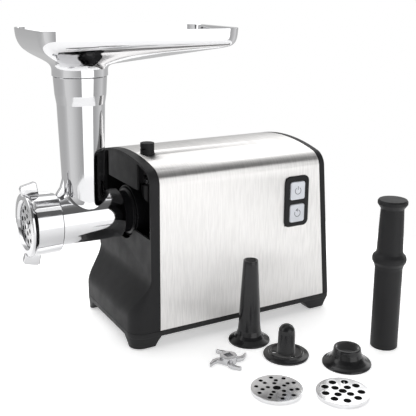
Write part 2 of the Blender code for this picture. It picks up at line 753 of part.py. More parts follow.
def knife(name, axis, centre, w0, w1, rim, hole):
    """Four swept blades round a hub."""
    points = []
    for k in range(4):
        a = math.radians(90.0 * k)
        for r, turn in ((9.5, -40.0), (14.0, -33.0), (19.5, -21.0), (rim, 0.0), (rim, 7.0), (19.5, -3.0), (14.0, -8.0)):
            b = a + math.radians(turn)
            points.append((centre[0] + r * math.cos(b), centre[1] + r * math.sin(b)))
    blade = prism(name, points, axis, w0, w1)
    hub = rod("hub", axis, centre, 10.6, w0, w1 + (4.0 if axis == "z" else 0.0), 16)
    join(blade, hub)
    opening = prism("square", disc(hole * math.sqrt(2), 4, centre, math.pi / 4), axis, w0 - 5.0, w1 + 5.0)
    cut(blade, opening)
    return finish(blade, "chrome", False)


def plate(name, axis, centre, w0, w1, rings_of_holes, radius=29.0, centre_hole=4.6, count=32, hole_sides=7):
    """Perforated disc; rings_of_holes lists (circle radius, holes, hole radius, turn)."""
    body = rod(name, axis, centre, radius, w0, w1, count)
    cutters = [rod("centre", axis, centre, centre_hole, w0 - 2.0, w1 + 2.0, 10)]
    for circle, holes, hole_r, turn in rings_of_holes:
        for u, v in disc(circle, holes, centre, math.radians(turn)):
            cutters.append(rod("hole", axis, (u, v), hole_r, w0 - 2.0, w1 + 2.0, hole_sides))
    cut(body, *cutters)
    return finish(body, "steel")


def build_head():
    z = HEAD_Z
    outer = turned(
        "head_casting",
        "x",
        (0.0, z),
        [
            (0.0, -265.0),
            (31.6, -265.0),
            (31.6, -231.5),
            (BARREL_R, -229.5),
            (BARREL_R, -149.0),
            (31.0, -148.0),
            (27.0, -148.0),
            (27.0, -136.0),
            (NECK_R, -135.0),
            (NECK_R, -119.6),
            (20.0, -119.6),
            (20.0, -108.4),
            (NECK_R, -108.4),
            (NECK_R, -101.0),
            (29.0, -99.0),
            (0.0, -99.0),
        ],
        28,
    )
    tube = turned(
        "tube",
        "z",
        (TUBE_X, 0.0),
        [
            (0.0, z),
            (25.8, z),
            (26.3, 205.0),
            (29.2, 300.0),
            (29.8, 304.0),
            (31.4, 316.0),
            (32.8, 337.6),
            (0.0, 337.6),
        ],
        28,
    )
    skirt = turned(
        "skirt",
        "z",
        (TUBE_X, 0.0),
        [(0.0, 168.0), (29.6, 168.0), (29.6, 184.0), (28.0, 191.0), (26.6, 202.0), (0.0, 202.0)],
        28,
    )
    rib = prism(
        "rib",
        [(-228.8, 184.0), (-206.0, 180.0), (-206.0, 228.0), (-218.4, 228.0), (-219.8, 212.0), (-223.0, 201.0), (-228.8, 193.0)],
        "y",
        -3.0,
        3.0,
    )
    join(outer, tube, skirt, rib)
    bore = turned(
        "bore",
        "x",
        (0.0, z),
        [
            (0.0, -270.0),
            (29.4, -270.0),
            (29.4, -260.6),
            (BORE_R, -260.6),
            (BORE_R, -163.0),
            (11.0, -158.0),
            (11.0, -118.0),
            (13.6, -116.0),
            (13.6, -90.0),
            (0.0, -90.0),
        ],
        28,
    )
    shaft = turned(
        "chute",
        "z",
        (TUBE_X, 0.0),
        [(0.0, z), (21.5, z), (22.4, 205.0), (25.4, 300.0), (28.6, 318.0), (30.6, 345.0), (0.0, 345.0)],
        22,
    )
    cut(outer, bore, shaft)
    finish(outer, "chrome", angle=38.0)

    auger = helix("auger", -251.5, -166.0, 3.0, 9.0, 26.2, 36)
    tail = rod("tail", "x", (0.0, z), 8.4, -168.0, -86.0, 6)
    square = prism("square", disc(5.6, 4, (0.0, z), math.pi / 4), "x", -258.5, -250.0)
    tip = rod("tip", "x", (0.0, z), 3.9, -267.0, -256.0, 16)
    join(auger, tail, square, tip)
    finish(auger, "steel", angle=50.0)
    knife("knife", "x", (0.0, z), -259.6, -252.2, 26.6, 4.4)
    rings = [(11.0, 6, 2.9, 30.0), (21.0, 11, 3.1, 8.0)]
    plate("grinding_plate", "x", (0.0, z), -266.0, -261.0, rings)


def build_nut():
    z = HEAD_Z
    nut = turned(
        "ring_nut",
        "x",
        (0.0, z),
        [
            (31.0, NUT_X0),
            (38.6, NUT_X0),
            (39.5, NUT_X0 + 1.0),
            (39.5, NUT_X0 + 3.0),
            (36.0, NUT_X0 + 8.0),
            (35.0, NUT_X1 - 1.0),
            (34.2, NUT_X1),
            (32.2, NUT_X1),
            (32.2, NUT_X0 + 3.7),
            (28.2, NUT_X0 + 3.7),
            (28.2, NUT_X0 + 2.6),
        ],
        32,
    )
    parts = []
    for turn in (90.0, 270.0):
        a = math.radians(turn)
        wing = []
        for x, r in ((-271.5, 36.5), (-274.0, 46.0), (-272.5, 49.5), (-256.0, 53.5), (-253.6, 52.5), (-250.5, 36.5)):
            wing.append((x, r))
        rings = []
        for w in (-2.6, 2.6):
            ring = []
            for x, r in wing:
                y = r * math.cos(a) - w * math.sin(a)
                up = r * math.sin(a) + w * math.cos(a)
                ring.append((x, y, z + up))
            rings.append(ring)
        parts.append(loft("wing", rings))
    for turn in (52.0, 128.0, 232.0, 308.0):
        a = math.radians(turn)
        rings = []
        for x, r, half in ((-266.0, 36.5, 7.0), (-262.0, 39.5, 6.0), (-232.6, 38.8, 5.5), (-230.4, 36.0, 7.0)):
            ring = []
            for u, w in ((33.2, -half - 3.0), (r, -half), (r, half), (33.2, half + 3.0)):
                ring.append((x, u * math.cos(a) - w * math.sin(a), z + u * math.sin(a) + w * math.cos(a)))
            rings.append(ring)
        parts.append(loft("boss", rings))
    join(nut, *parts)
    return finish(nut, "chrome", angle=30.0)


def tray_ring(left, right=None, radius=None):
    """Ring of the tray, sharing its directions with the rim: left and right are (inset, z) at the two ends.

    With a radius it is a circle round the tube, at the height left.
    """
    outline = rounded_rect(TRAY_X0, TRAY_X1, -TRAY_HALF_W, TRAY_HALF_W, 22.0, 5)
    ring = []
    for k, (x0, y0) in enumerate(outline):
        x1, y1 = outline[(k + 1) % len(outline)]
        steps = max(1, int(math.hypot(x1 - x0, y1 - y0) / 36.0))
        for s in range(steps):
            x, y = x0 + (x1 - x0) * s / steps, y0 + (y1 - y0) * s / steps
            if radius is not None:
                a = math.atan2(y, x - TUBE_X)
                ring.append((TUBE_X + radius * math.cos(a), radius * math.sin(a), left))
                continue
            t = (x - TRAY_X0) / (TRAY_X1 - TRAY_X0)
            end = right or left
            inset, z = (left[i] + (end[i] - left[i]) * t for i in (0, 1))
            cx = min(max(x, TRAY_X0 + 22.0), TRAY_X1 - 22.0)
            cy = min(max(y, -TRAY_HALF_W + 22.0), TRAY_HALF_W - 22.0)
            span = math.hypot(x - cx, y - cy)
            keep = max(span - inset, 0.0) / span
            ring.append((cx + (x - cx) * keep, cy + (y - cy) * keep, z))
    return ring


def build_tray():
    rings = [
        tray_ring((1.5, RIM_Z - 0.9)),
        tray_ring((0.0, RIM_Z)),
        tray_ring((0.0, RIM_Z - 2.4)),
        tray_ring((0.9, RIM_Z - 11.0)),
        tray_ring((3.4, RIM_Z - 18.5), (2.5, RIM_Z - 17.0)),
        tray_ring((8.2, RIM_Z - 25.5), (6.0, RIM_Z - 21.5)),
        tray_ring((17.7, RIM_Z - 32.5), (12.0, RIM_Z - 24.0)),
        tray_ring(351.0, radius=34.0),
        tray_ring(338.4, radius=34.0),
        tray_ring(338.4, radius=29.6),
        tray_ring(324.0, radius=27.6),
        tray_ring(324.0, radius=26.2),
        tray_ring(352.0, radius=28.0),
        tray_ring(354.4, radius=33.0),
        tray_ring((18.3, RIM_Z - 30.6), (12.6, RIM_Z - 22.1)),
        tray_ring((9.4, RIM_Z - 24.0), (7.2, RIM_Z - 20.0)),
        tray_ring((5.0, RIM_Z - 17.8), (4.2, RIM_Z - 16.2)),
        tray_ring((2.6, RIM_Z - 10.8)),
    ]
    tray = loft("hopper_tray", rings, closed_ends=False)
    return finish(tray, "chrome", angle=28.0)


def build_accessories():
    pusher = turned(
        "pusher",
        "z",
        (126.0, -215.0),
        [
            (16.6, 0.0),
            (17.1, 1.0),
            (17.1, 105.0),
            (18.2, 110.0),
            (20.8, 114.4),
            (21.2, 117.4),
            (20.4, 121.0),
            (17.0, 124.6),
            (16.1, 128.0),
            (15.5, 148.0),
            (14.7, 172.0),
            (14.2, 182.0),
            (16.6, 185.4),
            (18.4, 188.0),
            (18.4, 191.4),
            (17.0, 193.4),
            (0.0, 193.4),
            (0.0, 174.0),
            (10.5, 172.0),
            (13.4, 118.0),
            (14.4, 0.0),
        ],
        20,
    )
    finish(pusher, "matte_black")
    tube = turned(
        "sausage_tube",
        "z",
        (-18.0, -121.0),
        [
            (18.6, 0.0),
            (26.2, 0.0),
            (26.8, 1.0),
            (26.4, 2.6),
            (23.6, 4.2),
            (19.4, 6.6),
            (16.5, 10.4),
            (14.9, 16.0),
            (13.9, 26.0),
            (12.9, 50.0),
            (9.8, 104.0),
            (9.2, 109.6),
            (8.0, 109.6),
            (7.8, 107.0),
            (11.4, 50.0),
            (12.8, 17.0),
            (15.0, 7.0),
        ],
        20,
    )
    finish(tube, "gloss_black")
    cone = turned(
        "kubbe_cone",
        "z",
        (0.0, -178.0),
        [
            (25.6, 0.0),
            (28.0, 0.0),
            (28.4, 2.4),
            (27.4, 3.4),
            (22.0, 4.0),
            (21.4, 6.4),
            (19.2, 6.4),
            (18.8, 4.2),
            (10.9, 4.2),
            (10.4, 30.0),
            (9.4, 35.4),
            (6.6, 39.0),
            (4.6, 39.8),
            (4.2, 41.4),
            (0.0, 41.6),
            (0.0, 38.4),
            (5.6, 36.8),
            (8.2, 32.0),
            (8.8, 8.0),
            (10.4, 2.2),
            (25.2, 1.8),
        ],
        20,
    )
    slots = []
    for k in range(3):
        a = math.radians(30.0 + 120.0 * k)
        x, y = 14.9 * math.cos(a), -178.0 + 14.9 * math.sin(a)
        slots.append(rod("opening", "z", (x, y), 3.2, -2.0, 5.5, 12))
    cut(cone, *slots)
    finish(cone, "gloss_black")
    ring = turned(
        "kubbe_ring",
        "z",
        (53.0, -230.0),
        [
            (27.2, 0.0),
            (29.6, 0.0),
            (29.8, 1.4),
            (29.0, 2.8),
            (25.4, 4.4),
            (21.6, 7.2),
            (18.6, 11.0),
            (17.0, 16.0),
            (16.4, 20.4),
            (15.6, 21.6),
            (13.4, 21.6),
            (13.2, 19.0),
            (14.8, 10.0),
            (19.0, 4.4),
            (26.6, 1.6),
        ],
        20,
    )
    cuts = []
    for k in range(4):
        a = math.radians(20.0 + 90.0 * k)
        x, y = 53.0 + 20.0 * math.cos(a), -230.0 + 20.0 * math.sin(a)
        cuts.append(rod("slot", "z", (x, y), 2.2, -1.0, 17.0, 10))
    cut(ring, *cuts)
    finish(ring, "gloss_black")
    knife("spare_knife", "z", (-72.0, -159.0), 0.0, 5.4, 26.6, 4.8)
    coarse = [(10.0, 4, 4.2, 20.0), (20.6, 9, 4.4, 5.0)]
    fine = [(10.0, 5, 2.5, 0.0), (16.6, 7, 2.5, 8.0), (23.2, 10, 2.5, 0.0)]
    plate("fine_plate", "z", (-60.0, -245.0), 0.0, 5.0, fine, 29.6)
    plate("coarse_plate", "z", (1.0, -286.0), 0.0, 5.0, coarse, 30.0)


def build_inlet():
    x = rear_x(45.0) + REAR_T
    profile = [(3.6, x - 13.0), (8.8, x - 13.0), (8.8, x + 1.5), (11.0, x + 1.5), (11.0, x + 3.6)]
    profile += [(6.6, x + 4.6), (5.6, x + 9.0), (3.6, x + 9.0)]
    finish(turned("cord_inlet", "x", (45.0, 45.0), profile, 14), "rubber")


def joint_empty(name, x, y, z, axis):
    empty = bpy.data.objects.new(name, None)
    empty.empty_display_type = "SINGLE_ARROW"
    empty.empty_display_size = 0.03
    empty.location = Vector((x + SHIFT[0], y + SHIFT[1], z + SHIFT[2])) * MM
    empty.rotation_euler = Vector(axis).to_track_quat("Z", "Y").to_euler()
    SCENE.collection.objects.link(empty)


def build_joints():
    joint_empty("joint_auger_turn", -200.0, 0.0, HEAD_Z, (1, 0, 0))
    joint_empty("joint_gear_two", -80.0, *gear_axis(2), (1, 0, 0))
    joint_empty("joint_gear_one", -60.0, *gear_axis(1), (1, 0, 0))
    joint_empty("joint_rotor", 0.0, *MOTOR_YZ, (1, 0, 0))
    joint_empty("joint_head_turn", -140.0, 0.0, HEAD_Z, (1, 0, 0))
    joint_empty("joint_ring_turn", -250.0, 0.0, HEAD_Z, (1, 0, 0))
    joint_empty("joint_tray_lift", TUBE_X, 0.0, 338.0, (0, 0, 1))
    joint_empty("joint_power_press", 77.5, -85.0, 180.0, (0, 1, 0))
    joint_empty("joint_reverse_press", 77.5, -85.0, 149.0, (0, 1, 0))
    joint_empty("joint_lock_press", -114.0, -22.0, 240.0, (0, 0, -1))


def main():
    clear_scene()
    build_front_housing()
    build_cover()
    build_rear_housing()
    build_base()
    build_controls()
    build_lock()
    build_socket()
    build_gears()
    build_gearbox()
    build_motor()
    build_inlet()
    build_head()
    build_nut()
    build_tray()
    build_accessories()
    build_joints()


main()
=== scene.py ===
"""Studio scene of the electric meat grinder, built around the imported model."""

import json
import math

import bmesh
import bpy
from mathutils import Euler, Matrix, Vector

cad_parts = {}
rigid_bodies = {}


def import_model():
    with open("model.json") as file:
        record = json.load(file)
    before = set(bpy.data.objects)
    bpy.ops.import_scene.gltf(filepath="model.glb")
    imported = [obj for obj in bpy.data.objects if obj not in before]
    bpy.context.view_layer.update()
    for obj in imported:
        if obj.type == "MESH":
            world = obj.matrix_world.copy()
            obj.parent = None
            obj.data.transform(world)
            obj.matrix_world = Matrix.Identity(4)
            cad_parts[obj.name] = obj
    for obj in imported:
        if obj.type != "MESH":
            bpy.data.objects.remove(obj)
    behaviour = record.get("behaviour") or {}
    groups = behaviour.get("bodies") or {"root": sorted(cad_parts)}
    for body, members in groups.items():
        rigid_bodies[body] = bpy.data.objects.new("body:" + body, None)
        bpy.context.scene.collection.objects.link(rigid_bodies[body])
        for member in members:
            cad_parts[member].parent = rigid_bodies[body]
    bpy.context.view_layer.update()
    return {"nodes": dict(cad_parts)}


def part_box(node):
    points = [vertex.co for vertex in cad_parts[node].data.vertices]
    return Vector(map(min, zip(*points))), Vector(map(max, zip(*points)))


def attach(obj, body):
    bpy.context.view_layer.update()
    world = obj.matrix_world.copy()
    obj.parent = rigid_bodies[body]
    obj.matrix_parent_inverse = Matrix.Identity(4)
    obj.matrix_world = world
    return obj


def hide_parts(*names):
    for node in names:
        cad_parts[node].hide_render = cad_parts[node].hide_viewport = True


MM = 0.001
# From the machine's own centre line to the middle of the whole group.
SHIFT = (63.0, 115.5, 0.0)
SCENE = bpy.context.scene

# Sizes and places in millimetres from the machine's centre line; -X is the head's side. They follow part.py.
HALF_W = 85.0
CROWN_R = 272.0
CROWN_Z = 238.5
CORNER_R = 20.0
COVER_X0 = -127.1
PANEL_X = -139.5
STRIP_X = -127.5
SHELL_Z = 22.4
REAR_X_LOW = 128.0
REAR_SLOPE = 15.5 / 185.0
REAR_T = 10.0
BASE_Z0 = 14.5
FRONT_X = -165.0
REAR_X = 138.4
HEAD_Z = 158.7
TUBE_X = -192.7
NUT_X0 = -270.0
NUT_X1 = -230.0
BARREL_R = 32.0
NECK_R = 30.4
NECK_X = -148.2
SOCKET_R = 31.0
ARM = 3.2
BLOCK_Y = 46.0
BLOCK_Z = 197.5
OPEN_Z = 143.0
RIM_Z = 395.0
TRAY_X0 = -258.0
TRAY_X1 = 2.0
TRAY_HALF_W = 65.0
TRAY_CORNER_R = 22.0
KNOB = (-114.0, -22.0)
KNOB_Z = 251.6
INLET = (45.0, 45.0)
# Bezel and buttons: (x0, x1, z0, z1) of the bezel, then the x range and lower edge of what sits in it.
BEZEL = (56.5, 95.0, 130.5, 200.0)
WELL_X = (63.6, 88.4)
WELL_LOWS = (136.2, 167.3)
WELL_H = 25.8
BUTTON_X = (64.4, 87.6)
BUTTON_LOWS = (("power_button", 167.9), ("reverse_button", 136.8))
BUTTON_H = 24.6

for old in list(bpy.data.objects):
    bpy.data.objects.remove(old, do_unlink=True)

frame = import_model()


# ---------------------------------------------------------------- materials


def principled(name, colour, roughness, metallic=0.0, **sockets):
    mat = bpy.data.materials.new(name)
    mat.use_nodes = True
    shader = mat.node_tree.nodes["Principled BSDF"]
    shader.inputs["Base Color"].default_value = (*colour, 1.0)
    shader.inputs["Roughness"].default_value = roughness
    shader.inputs["Metallic"].default_value = metallic
    for key, value in sockets.items():
        shader.inputs[key.replace("_", " ")].default_value = value
    mat.diffuse_color = (*colour, 1.0)
    return mat


def noise(mat, scale, stretch=(1.0, 1.0, 1.0), detail=3.0):
    """Noise in the object's own space; a large stretch packs it more tightly along that axis."""
    nodes, links = mat.node_tree.nodes, mat.node_tree.links
    coords = nodes.new("ShaderNodeTexCoord")
    mapping = nodes.new("ShaderNodeMapping")
    mapping.inputs["Scale"].default_value = stretch
    texture = nodes.new("ShaderNodeTexNoise")
    texture.inputs["Scale"].default_value = scale
    texture.inputs["Detail"].default_value = detail
    links.new(coords.outputs["Object"], mapping.inputs["Vector"])
    links.new(mapping.outputs["Vector"], texture.inputs["Vector"])
    return texture.outputs["Fac"]


def spread(mat, value, low, high, start=0.3, end=0.7):
    """Maps a noise value onto a range."""
    node = mat.node_tree.nodes.new("ShaderNodeMapRange")
    node.inputs["From Min"].default_value = start
    node.inputs["From Max"].default_value = end
    node.inputs["To Min"].default_value = low
    node.inputs["To Max"].default_value = high
    mat.node_tree.links.new(value, node.inputs["Value"])
    return node.outputs["Result"]


def blend_colours(mat, value, first, second, start=0.3, end=0.7):
    node = mat.node_tree.nodes.new("ShaderNodeMix")
    node.data_type = "RGBA"
    node.inputs["A"].default_value = (*first, 1.0)
    node.inputs["B"].default_value = (*second, 1.0)
    mat.node_tree.links.new(spread(mat, value, 0.0, 1.0, start, end), node.inputs["Factor"])
    return node.outputs["Result"]


def feed(mat, socket, value):
    """Links a value into a socket of the material's shader."""
    shader = mat.node_tree.nodes["Principled BSDF"]
    mat.node_tree.links.new(value, shader.inputs[socket])


def bump(mat, value, strength, distance):
    node = mat.node_tree.nodes.new("ShaderNodeBump")
    node.inputs["Strength"].default_value = strength
    node.inputs["Distance"].default_value = distance
    mat.node_tree.links.new(value, node.inputs["Height"])
    feed(mat, "Normal", node.outputs["Normal"])


def moulded(name, colour, roughness, grain=0.25, **sockets):
    """Moulded plastic with a fine spark-eroded grain and a slight drift in gloss."""
    mat = principled(name, colour, roughness, **sockets)
    darker = tuple(c * 0.82 for c in colour)
    feed(mat, "Base Color", blend_colours(mat, noise(mat, 30.0), darker, colour))
    feed(mat, "Roughness", spread(mat, noise(mat, 60.0), roughness * 0.88, roughness * 1.12))
    bump(mat, noise(mat, 2600.0, detail=1.0), grain, 0.00004)
    return mat


def polished(name, colour=(0.62, 0.62, 0.63), roughness=0.055, wave=0.05):
    """Polished cast metal: mirror-like with a faint unevenness."""
    mat = principled(name, colour, roughness, 1.0)
    feed(mat, "Roughness", spread(mat, noise(mat, 90.0, detail=4.0), roughness * 0.7, roughness * 1.5))
    bump(mat, noise(mat, 28.0, detail=1.0), wave, 0.0006)
    return mat


def brushed(name, colour, roughness, stretch, depth=0.35):
    """Grain lines that run across the axis with the large stretch."""
    mat = principled(name, colour, roughness, 1.0)
    lines = noise(mat, 1.0, stretch, detail=6.0)
    clouds = noise(mat, 1.0, tuple(s * 0.12 for s in stretch), detail=3.0)
    dull = tuple(c * 0.86 for c in colour)
    feed(mat, "Base Color", blend_colours(mat, clouds, dull, colour))
    feed(mat, "Roughness", spread(mat, lines, roughness * 0.75, roughness * 1.35))
    bump(mat, lines, depth, 0.00006)
    return mat


def brushed_sheet(name, colour):
    """Steel sheet brushed across its length, so that highlights smear along X."""
    mat = principled(name, colour, 0.42, 1.0, Anisotropic=0.92, Anisotropic_Rotation=0.25)
    lines = noise(mat, 1.0, (700.0, 45.0, 45.0), detail=5.0)
    dull = tuple(c * 0.88 for c in colour)
    feed(mat, "Base Color", blend_colours(mat, lines, dull, colour, 0.38, 0.62))
    feed(mat, "Roughness", spread(mat, lines, 0.38, 0.46))
    bump(mat, lines, 0.10, 0.00002)
    tangent = mat.node_tree.nodes.new("ShaderNodeTangent")
    tangent.direction_type = "RADIAL"
    tangent.axis = "X"
    feed(mat, "Tangent", tangent.outputs["Tangent"])
    return mat


def build_materials():
    kinds = {
        "plastic": moulded("satin_black", (0.017, 0.017, 0.018), 0.50, Specular_IOR_Level=0.14),
        "plastic_dark": moulded("satin_black_base", (0.015, 0.015, 0.016), 0.48, Specular_IOR_Level=0.2),
        # Near-black painted shade for the inner faces of the steel cover and the walls of the plates' holes.
        "pocket": moulded("recess_black", (0.002, 0.002, 0.002), 0.5, Specular_IOR_Level=0.15),
        "socket": moulded("socket_black", (0.008, 0.008, 0.009), 0.30, 0.1, Specular_IOR_Level=0.2),
        "gloss": moulded("gloss_black", (0.009, 0.009, 0.010), 0.18, 0.05, Specular_IOR_Level=0.35),
        "matte": moulded("matt_black", (0.016, 0.016, 0.017), 0.46, 0.3, Specular_IOR_Level=0.18),
        "button": moulded("button_white", (0.72, 0.74, 0.79), 0.32, 0.1),
        "icon": moulded("icon_grey", (0.16, 0.17, 0.19), 0.4, 0.1),
        "rubber": moulded("rubber", (0.022, 0.022, 0.022), 0.75, 0.5),
        "cover": brushed_sheet("brushed_steel", (0.80, 0.79, 0.78)),
        "chrome": polished("chrome_cast"),
        "tray": polished("chrome_tray", (0.66, 0.66, 0.67), 0.05, 0.03),
        "nut": polished("chrome_nut", (0.57, 0.57, 0.58), 0.10, 0.03),
        "ground": brushed("ground_steel", (0.55, 0.55, 0.56), 0.20, (60.0, 700.0, 60.0), 0.25),
        "ground_flat": brushed("ground_plate", (0.72, 0.72, 0.73), 0.16, (500.0, 30.0, 30.0), 0.2),
        "nylon": moulded("nylon", (0.78, 0.75, 0.66), 0.4),
        "copper": brushed("enamelled_copper", (0.62, 0.25, 0.11), 0.35, (80.0, 900.0, 900.0), 0.8),
        "laminate": brushed("laminations", (0.36, 0.36, 0.38), 0.45, (1800.0, 12.0, 12.0), 0.9),
        "alloy": moulded("die_cast", (0.52, 0.53, 0.54), 0.42, 0.5, Metallic=1.0),
        "board": moulded("solder_mask", (0.02, 0.16, 0.06), 0.3, 0.2),
        "brass": brushed("brass", (0.72, 0.52, 0.22), 0.3, (700.0, 60.0, 60.0)),
    }
    return kinds


MATS = build_materials()

# CAD nodes that are carried over as they are, and the material each one gets.
KEPT = {
    "lock_spring": "ground",
    "gearbox_case": "alloy",
    "output_bearing": "brass",
    "gear_one": "nylon",
    "gear_two": "nylon",
    "output_gear": "ground",
    "gear_axle_1": "ground",
    "gear_axle_2": "ground",
    "motor_pinion": "ground",
    "motor_shaft": "ground",
    "armature_core": "laminate",
    "commutator": "copper",
    "cooling_fan": "plastic_dark",
    "motor_frame": "laminate",
    "field_coil_top": "copper",
    "field_coil_bottom": "copper",
    "motor_bracket_front": "alloy",
    "motor_bracket_rear": "alloy",
    "brush_holder_a": "brass",
    "brush_holder_b": "brass",
    "motor_saddle_front": "rubber",
    "motor_saddle_rear": "rubber",
    "control_board": "board",
    "power_switch": "plastic_dark",
    "reverse_switch": "plastic_dark",
    "auger": "chrome",
    "knife": "ground",
}


# ---------------------------------------------------------------- mesh tools


def mesh_object(name, bm):
    """Turns a bmesh in millimetres into an object in metres."""
    bmesh.ops.remove_doubles(bm, verts=bm.verts, dist=0.0005)
    bmesh.ops.recalc_face_normals(bm, faces=bm.faces)
    bmesh.ops.transform(bm, matrix=Matrix.Scale(MM, 4) @ Matrix.Translation(Vector(SHIFT)), verts=bm.verts)
    mesh = bpy.data.meshes.new(name)
    bm.to_mesh(mesh)
    bm.free()
    obj = bpy.data.objects.new(name, mesh)
    SCENE.collection.objects.link(obj)
    return obj


def bake_modifiers(obj):
    """Replaces the object's mesh by what its modifiers make of it."""
    bpy.context.view_layer.update()
    graph = bpy.context.evaluated_depsgraph_get()
    result = bpy.data.meshes.new_from_object(obj.evaluated_get(graph))
    obj.modifiers.clear()
    old = obj.data
    obj.data = result
    bpy.data.meshes.remove(old)
    return obj


def combine(target, others, operation):
    """Boolean of the target with others, which are used up."""
    for other in others:
        mod = target.modifiers.new(operation.lower(), "BOOLEAN")
        mod.operation = operation
        mod.solver = "EXACT"
        mod.object = other
    bake_modifiers(target)
    for other in others:
        bpy.data.objects.remove(other, do_unlink=True)
    return target


def cut(target, *cutters):
    return combine(target, cutters, "DIFFERENCE")


def join(target, *others):
    return combine(target, others, "UNION")


def soften(obj, width, segments=2, angle=30.0):
    """Rounds the hard edges of a mesh."""
    mod = obj.modifiers.new("edge", "BEVEL")
    mod.width = width * MM
    mod.segments = segments
    mod.limit_method = "ANGLE"
    mod.angle_limit = math.radians(angle)
    mod.use_clamp_overlap = True
    mod.harden_normals = False
    return bake_modifiers(obj)


def finish(obj, body, mat, nodes=(), angle=35.0):
    """Gives the piece its material, smooth shading, its CAD body and the CAD nodes it stands for."""
    obj.data.materials.clear()
    obj.data.materials.append(MATS[mat])
    bm = bmesh.new()
    bm.from_mesh(obj.data)
    bmesh.ops.remove_doubles(bm, verts=bm.verts, dist=2e-6)
    bmesh.ops.dissolve_degenerate(bm, edges=bm.edges, dist=1e-6)
    for face in bm.faces:
        face.smooth = True
    for edge in bm.edges:
        edge.smooth = len(edge.link_faces) == 2 and edge.calc_face_angle(0.0) < math.radians(angle)
    bm.to_mesh(obj.data)
    bm.free()
    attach(obj, body)
    if nodes:
        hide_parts(*nodes)
    return obj


def on_axis(axis, u, v, w):
    """A point w along the axis, and (u, v) in the plane across it."""
    if axis == "x":
        return (w, u, v)
    if axis == "y":
        return (u, w, v)
    return (u, v, w)


def loft(name, rings, closed_ends=True):
    """Skin over equal rings of points. Without ends, the last ring joins the first."""
    bm = bmesh.new()
    rows = [[bm.verts.new(p) for p in ring] for ring in rings]
    count = len(rings[0])
    pairs = list(zip(rows, rows[1:]))
    if closed_ends:
        bm.faces.new(rows[0][::-1])
        bm.faces.new(rows[-1])
    else:
        pairs.append((rows[-1], rows[0]))
    for lower, upper in pairs:
        for i in range(count):
            j = (i + 1) % count
            bm.faces.new((lower[i], lower[j], upper[j], upper[i]))
    return mesh_object(name, bm)


def prism(name, profile, axis, w0, w1):
    """An outline drawn straight along an axis."""
    return loft(name, [[on_axis(axis, u, v, w) for u, v in profile] for w in (w0, w1)])


def box(name, x0, x1, y0, y1, z0, z1):
    return prism(name, [(x0, y0), (x1, y0), (x1, y1), (x0, y1)], "z", z0, z1)


def disc(radius, count, centre=(0.0, 0.0), turn=0.0):
    steps = [turn + 2 * math.pi * k / count for k in range(count)]
    return [(centre[0] + radius * math.cos(a), centre[1] + radius * math.sin(a)) for a in steps]


def rod(name, axis, centre, radius, w0, w1, count=48, turn=0.0):
    return prism(name, disc(radius, count, centre, turn), axis, w0, w1)


def round_corners(profile, default=0.0, steps=4):
    """Fillets a closed outline; each point is (u, v) or (u, v, radius)."""
    count = len(profile)
    result = []
    for k, point in enumerate(profile):
        here = Vector(point[:2])
        radius = point[2] if len(point) > 2 else default
        before = Vector(profile[k - 1][:2]) - here
        after = Vector(profile[(k + 1) % count][:2]) - here
        on_centre = point[0] < 1e-6
        if radius < 1e-6 or on_centre or before.length < 1e-6 or after.length < 1e-6:
            result.append((here.x, here.y))
            continue
        a, b = before.normalized(), after.normalized()
        half = a.angle(b) / 2
        if half > math.radians(88.0):
            result.append((here.x, here.y))
            continue
        reach = min(radius / math.tan(half), before.length * 0.48, after.length * 0.48)
        start, end = here + a * reach, here + b * reach
        for s in range(steps + 1):
            t = s / steps
            p = start * (1 - t) ** 2 + here * 2 * t * (1 - t) + end * t**2
            result.append((p.x, p.y))
    return result


def turned(name, axis, centre, profile, fillet=0.0, count=96, steps=4):
    """Revolves a closed (radius, distance) outline with rounded corners."""
    bm = bmesh.new()
    angles = [2 * math.pi * k / count for k in range(count)]
    rows = []
    for radius, w in round_corners(profile, fillet, steps):
        if radius < 1e-6:
            rows.append([bm.verts.new(on_axis(axis, centre[0], centre[1], w))] * count)
        else:
            rows.append(
                [
                    bm.verts.new(
                        on_axis(axis, centre[0] + radius * math.cos(a), centre[1] + radius * math.sin(a), w)
                    )
                    for a in angles
                ]
            )
    for index, lower in enumerate(rows):
        upper = rows[(index + 1) % len(rows)]
        for i in range(count):
            j = (i + 1) % count
            corners = []
            for vert in (lower[i], lower[j], upper[j], upper[i]):
                if vert not in corners:
                    corners.append(vert)
            if len(corners) > 2:
                bm.faces.new(corners)
    return mesh_object(name, bm)


def rounded_rect(u0, u1, v0, v1, radius, steps=10):
    points = []
    corners = ((u1 - radius, v1 - radius, 0), (u0 + radius, v1 - radius, 90))
    corners += ((u0 + radius, v0 + radius, 180), (u1 - radius, v0 + radius, 270))
    for cu, cv, start in corners:
        for k in range(steps + 1):
            a = math.radians(start + 90.0 * k / steps)
            points.append((cu + radius * math.cos(a), cv + radius * math.sin(a)))
    return points


def corner_outline(u0, u1, v0, v1, radii, steps=10):
    """Outline with its own radius at each corner, from (u1, v1) counter-clockwise."""
    points = []
    corners = ((u1, v1, -1, -1, 0), (u0, v1, 1, -1, 90), (u0, v0, 1, 1, 180), (u1, v0, -1, 1, 270))
    for (cu, cv, du, dv, start), radius in zip(corners, radii):
        for k in range(steps + 1):
            a = math.radians(start + 90.0 * k / steps)
            points.append((cu + du * radius + radius * math.cos(a), cv + dv * radius + radius * math.sin(a)))
    return points


def smoothstep(t):
    t = min(1.0, max(0.0, t))
    return t * t * (3 - 2 * t)


# ---------------------------------------------------------------- body


